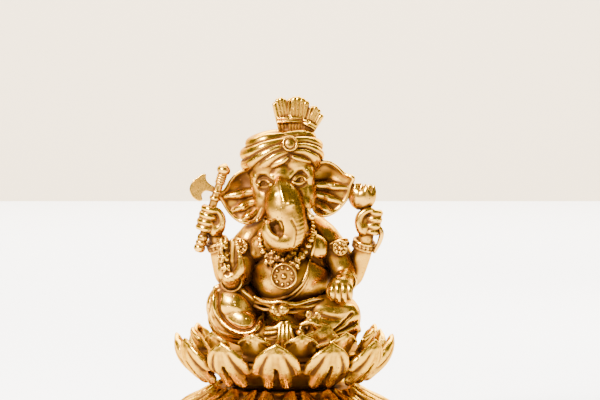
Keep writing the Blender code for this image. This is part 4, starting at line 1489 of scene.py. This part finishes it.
skins = [(made, read(made.data, "co") / MM, read(made.data, "no")) for made in MADE]
everywhere = np.concatenate([places for _, places, _ in skins])
grid_low = everywhere.min(0) - MARGIN
size = np.ceil((everywhere.max(0) + MARGIN - grid_low) / GRID).astype(int) + 1
filled = np.zeros(size, dtype=np.float32)
cells = np.floor((everywhere - grid_low) / GRID).astype(int)
filled[cells[:, 0], cells[:, 1], cells[:, 2]] = 1
near_crowd = blurred(filled, 1)
wide_crowd = blurred(filled, 4)
print("the grid has", filled.size, "cells and", int(filled.sum()), "are on the surface")

# %% Hollowness, from each vertex and its neighbours


def hollowness(places, normals, pairs, degree):
    lift = ((spread_places(places, pairs, degree, 4) - places) * normals).sum(1)
    return spread(lift, pairs, degree, 3)


def store(mesh, name, values):
    layer = mesh.attributes.new(name, "FLOAT", "POINT")
    layer.data.foreach_set("value", values.astype(np.float32))


# The ears are wiped cleaner than the rest.
WIPED = {"right_ear_sheet": 0.45, "left_ear_sheet": 0.45}
FULL_CREASE = 0.036
for made, places, normals in skins:
    pairs, degree = neighbours(made.data)
    close = sample(near_crowd, places + normals * 0.9, grid_low)
    wide = sample(wide_crowd, places + normals * 2.6, grid_low)
    crowd = np.clip((close - 0.15) / 0.27, 0, 1) * 0.60 + np.clip((wide - 0.10) / 0.16, 0, 1) * 0.75
    crowd = spread(crowd, pairs, degree, 3) * WIPED.get(made.name, 1.0)
    crease = np.clip(hollowness(places, normals, pairs, degree) / FULL_CREASE, -1, 1)
    wash = np.clip(crowd + np.clip(crease, 0, 1) * 0.85, 0, 1)
    # Painted highlight: convex edges that keep no wash are marked here, and the gold there is painted
    # brighter and paler.
    painted_edge_highlight = np.clip(-crease, 0, 1) * (1 - wash)
    store(made.data, "wash", wash)
    store(made.data, "painted_edge_highlight", painted_edge_highlight)
    print(f"{made.name}: wash {wash.mean():.2f}, worn {painted_edge_highlight.mean():.2f}")

# %% [markdown]
# ## Antique gold
#
# Gold paint is metal flake in lacquer, so it mirrors softly and takes its colour from the flake. The wash
# over it is a dull brown film, not metal. The two are mixed by what is stored in the vertices, and broken
# up by noise so that the edge of the wash is never a clean line. Small pores from casting hold a dot of
# wash each.

# %% Sums with sockets


class Signal:
    """A shader socket that can be added, multiplied and passed on to any node."""

    def __init__(self, tree, socket=None):
        self.tree, self.socket = tree, socket

    def node(self, kind, settings=None, out=0, **values):
        """Any node: its settings first, then a value or a signal for each named input."""
        made = self.tree.nodes.new(kind)
        for name, value in (settings or {}).items():
            setattr(made, name, value)
        for name, value in values.items():
            key = int(name[1:]) if name[0] == "i" and name[1:].isdigit() else name.replace("_", " ")
            target = made.inputs[key]
            if isinstance(value, Signal):
                self.tree.links.new(value.socket, target)
            else:
                target.default_value = value
        return Signal(self.tree, made.outputs[out])

    def maths(self, operation, other):
        return self.node("ShaderNodeMath", {"operation": operation}, i0=self, i1=other)

    def __add__(self, other):
        return self.maths("ADD", other)

    def __sub__(self, other):
        return self.maths("SUBTRACT", other)

    def __mul__(self, other):
        return self.maths("MULTIPLY", other)

    def __rsub__(self, other):
        return (self * -1.0) + other

    __radd__ = __add__
    __rmul__ = __mul__

    def between(self, low, high):
        """0 below low, 1 above high and a soft step between."""
        return self.node(
            "ShaderNodeMapRange",
            {"interpolation_type": "SMOOTHSTEP", "clamp": True},
            Value=self,
            From_Min=low,
            From_Max=high,
        )

    def mix(self, low, high):
        """A colour from low at 0 to high at 1."""
        settings = {"data_type": "RGBA", "clamp_factor": True}
        return self.node("ShaderNodeMix", settings, out=2, i0=self, i6=low, i7=high)


# %% One gold for all, with a few finishes


def tinted(colour, *factors):
    return (*[min(c * f, 1) for c, f in zip(colour, factors)], 1)


def gold(name, bright, gloss=0.34, wash_share=1.0, pore_depth=1.0):
    made = bpy.data.materials.new(name)
    made.use_nodes = True
    tree = made.node_tree
    shader = tree.nodes["Principled BSDF"]
    start = Signal(tree)
    where = start.node("ShaderNodeTexCoord", out="Object")

    def noise(scale, detail=3.0, rough=0.55):
        values = dict(Vector=where, Scale=scale, Detail=detail, Roughness=rough)
        return start.node("ShaderNodeTexNoise", {"noise_dimensions": "3D"}, "Fac", **values)

    wash = start.node("ShaderNodeAttribute", {"attribute_name": "wash"}, "Fac")
    painted_edge_highlight = start.node("ShaderNodeAttribute", {"attribute_name": "painted_edge_highlight"}, "Fac")
    blotch, cloud, grain = noise(90, 4), noise(260, 3), noise(1500, 2, 0.6)
    pores = start.node("ShaderNodeTexVoronoi", {"feature": "F1"}, "Distance", Vector=where, Scale=700.0)
    pore_here = (1.0 - pores.between(0.10, 0.26)) * noise(420, 1).between(0.46, 0.58)
    stain = wash * wash_share + (blotch - 0.5) * 0.55 + (cloud - 0.5) * 0.30
    film = stain.between(0.10, 0.58)
    thick_film = stain.between(0.42, 0.92)
    tint = (blotch * 0.6 + cloud * 0.4).between(0.36, 0.66)
    clean = tint.mix((*bright, 1), tinted(bright, 0.90, 0.80, 0.62))
    # Painted highlight: the gold on convex edges is painted brighter and paler than the clean gold.
    clean = (painted_edge_highlight * 0.9).mix(clean, tinted(bright, 1.55, 1.62, 1.8))
    half = film.mix(clean, tinted(bright, 0.58, 0.46, 0.34))
    dark = thick_film.mix(half, (0.060, 0.020, 0.004, 1))
    colour = (pore_here * 0.8).mix(dark, (0.10, 0.04, 0.015, 1))
    tree.links.new(colour.socket, shader.inputs["Base Color"])
    metal = 1.0 - thick_film * 0.35 - pore_here * 0.4
    tree.links.new(metal.maths("MAXIMUM", 0.12).socket, shader.inputs["Metallic"])
    rough = film * 0.16 + thick_film * 0.16 + (cloud - 0.5) * 0.20 + (grain - 0.5) * 0.16
    rough = rough - painted_edge_highlight * 0.08 + gloss
    tree.links.new(rough.maths("MAXIMUM", 0.16).socket, shader.inputs["Roughness"])
    height = cloud * 0.45 + grain * 0.22 - pore_here * 0.9 * pore_depth
    bump = start.node("ShaderNodeBump", None, 0, Strength=0.55, Distance=0.00016, Height=height)
    tree.links.new(bump.socket, shader.inputs["Normal"])
    shader.inputs["Specular IOR Level"].default_value = 0.25
    shader.inputs["Specular Tint"].default_value = (0.88, 0.62, 0.26, 1)
    return made


# %% Finishes for each slot

GOLD = (0.44, 0.228, 0.018)
PAINTS = {
    "antique_gold_base": gold("petal gold", (0.38, 0.195, 0.012), 0.33, 1.2, 1.2),
    "antique_gold_skin": gold("skin gold", GOLD, 0.28),
    "antique_gold_cloth": gold("cloth gold", GOLD, 0.28),
    "antique_gold_ornament": gold("ornament gold", (0.50, 0.265, 0.028), 0.25, 0.95, 0.6),
    "antique_gold_eye": gold("eye gold", (0.40, 0.21, 0.04), 0.26, 1.0, 0.2),
    "pale_gold_tusk": gold("tusk gold", (0.50, 0.28, 0.045), 0.30, 0.7, 0.4),
}
for made in MADE:
    made.data.materials.clear()
    made.data.materials.append(PAINTS[made["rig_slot"]])

# %% [markdown]
# ## Felt under the base
#
# The pad is pressed felt: a dull, even cloth of short fibres with no weave. It stays the plain disc of the
# model, and a fine tangled bump with a soft sheen gives it its nap.

# %% Felt

felt = bpy.data.materials.new("felt")
felt.use_nodes = True
shader = felt.node_tree.nodes["Principled BSDF"]
start = Signal(felt.node_tree)
where = start.node("ShaderNodeTexCoord", out="Object")
kind = ("ShaderNodeTexNoise", {"noise_dimensions": "3D"}, "Fac")
fibre = start.node(*kind, Vector=where, Scale=2600.0, Detail=4.0, Distortion=1.2)
patch = start.node(*kind, Vector=where, Scale=120.0, Detail=2.0)
tone = (fibre * 0.6 + patch * 0.4).between(0.30, 0.70)
tone = tone.mix((0.030, 0.014, 0.010, 1), (0.075, 0.035, 0.022, 1))
felt.node_tree.links.new(tone.socket, shader.inputs["Base Color"])
shader.inputs["Roughness"].default_value = 0.95
shader.inputs["Sheen Weight"].default_value = 0.4
nap = start.node("ShaderNodeBump", None, 0, Strength=0.7, Distance=0.0002, Height=fibre)
felt.node_tree.links.new(nap.socket, shader.inputs["Normal"])
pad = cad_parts["base_pad"]
pad.data.materials.clear()
pad.data.materials.append(felt)

# %% [markdown]
# ## Floor, light and camera
#
# The statuette stands on a plain pale floor that runs up into a pale backdrop. Metal shows mostly what
# surrounds it, so the room is bright but not even: large soft lamps give broad highlights, and the gaps
# between them stay dim.

# %% Floor and backdrop


def plain_paint(name, colour, roughness):
    made = bpy.data.materials.new(name)
    made.use_nodes = True
    shader = made.node_tree.nodes["Principled BSDF"]
    shader.inputs["Base Color"].default_value = (*colour, 1.0)
    shader.inputs["Roughness"].default_value = roughness
    return made


def stage_plane(name, colour, width, depth, place):
    bm = bmesh.new()
    bmesh.ops.create_grid(bm, x_segments=1, y_segments=1, size=0.5)
    bmesh.ops.transform(bm, matrix=place @ Matrix.Diagonal((width, depth, 1, 1)), verts=bm.verts[:])
    mesh = bpy.data.meshes.new(name)
    bm.to_mesh(mesh)
    bm.free()
    mesh.materials.append(plain_paint(name + "_paint", colour, 0.85))
    made = bpy.data.objects.new(name, mesh)
    bpy.context.scene.collection.objects.link(made)


stage_plane("floor", (0.90, 0.89, 0.885), 6, 6, Matrix.Translation((0, 2.0, -0.0005)))
stood_up = Matrix.Translation((0, 1.59, 1.99)) @ Matrix.Rotation(math.radians(90), 4, "X")
stage_plane("backdrop", (0.73, 0.61, 0.45), 8, 4, stood_up)

# %% Lamps


def lamp(name, place, aim, size, power, colour):
    data = bpy.data.lights.new(name, "AREA")
    data.shape = "RECTANGLE"
    data.size, data.size_y = size
    data.energy = power
    data.color = colour
    made = bpy.data.objects.new(name, data)
    made.location = place
    made.rotation_mode = "QUATERNION"
    made.rotation_quaternion = (Vector(aim) - Vector(place)).to_track_quat("-Z", "Y")
    bpy.context.scene.collection.objects.link(made)


AIM = (0, 0, 0.07)
lamp("key", (-0.34, -0.42, 0.46), AIM, (0.15, 0.15), 30.0, (1.0, 0.97, 0.92))
lamp("fill", (0.55, -0.40, 0.22), AIM, (0.25, 0.40), 0.6, (1.0, 0.97, 0.93))
lamp("top", (0.05, 0.20, 0.60), AIM, (0.40, 0.30), 5.0, (1.0, 0.98, 0.95))
lamp("back", (0.35, 0.50, 0.30), AIM, (0.25, 0.30), 3.0, (1.0, 0.98, 0.95))
lamp("wall", (0.0, 0.95, 1.3), (0, 1.25, 0.0), (2.4, 0.9), 170.0, (1.0, 0.985, 0.96))

world = bpy.data.worlds.new("room")
world.use_nodes = True
world.node_tree.nodes["Background"].inputs["Color"].default_value = (0.90, 0.88, 0.85, 1)
world.node_tree.nodes["Background"].inputs["Strength"].default_value = 0.27
bpy.context.scene.world = world

# %% Camera, level with the figure and tipped slightly down

ELEVATION = math.radians(3)
DISTANCE = 1.0
AIM_HEIGHT = 0.0839
camera = bpy.data.objects.new("camera", bpy.data.cameras.new("camera"))
camera.data.sensor_width = 36
camera.data.lens = 176.7
target = Vector((0.0054, 0, AIM_HEIGHT))
back = Vector((0, -math.cos(ELEVATION), math.sin(ELEVATION)))
camera.location = target + back * DISTANCE
camera.rotation_mode = "QUATERNION"
camera.rotation_quaternion = (-back).to_track_quat("-Z", "Y")
camera.data.clip_start, camera.data.clip_end = 0.01, 20
bpy.context.scene.collection.objects.link(camera)
bpy.context.scene.camera = camera
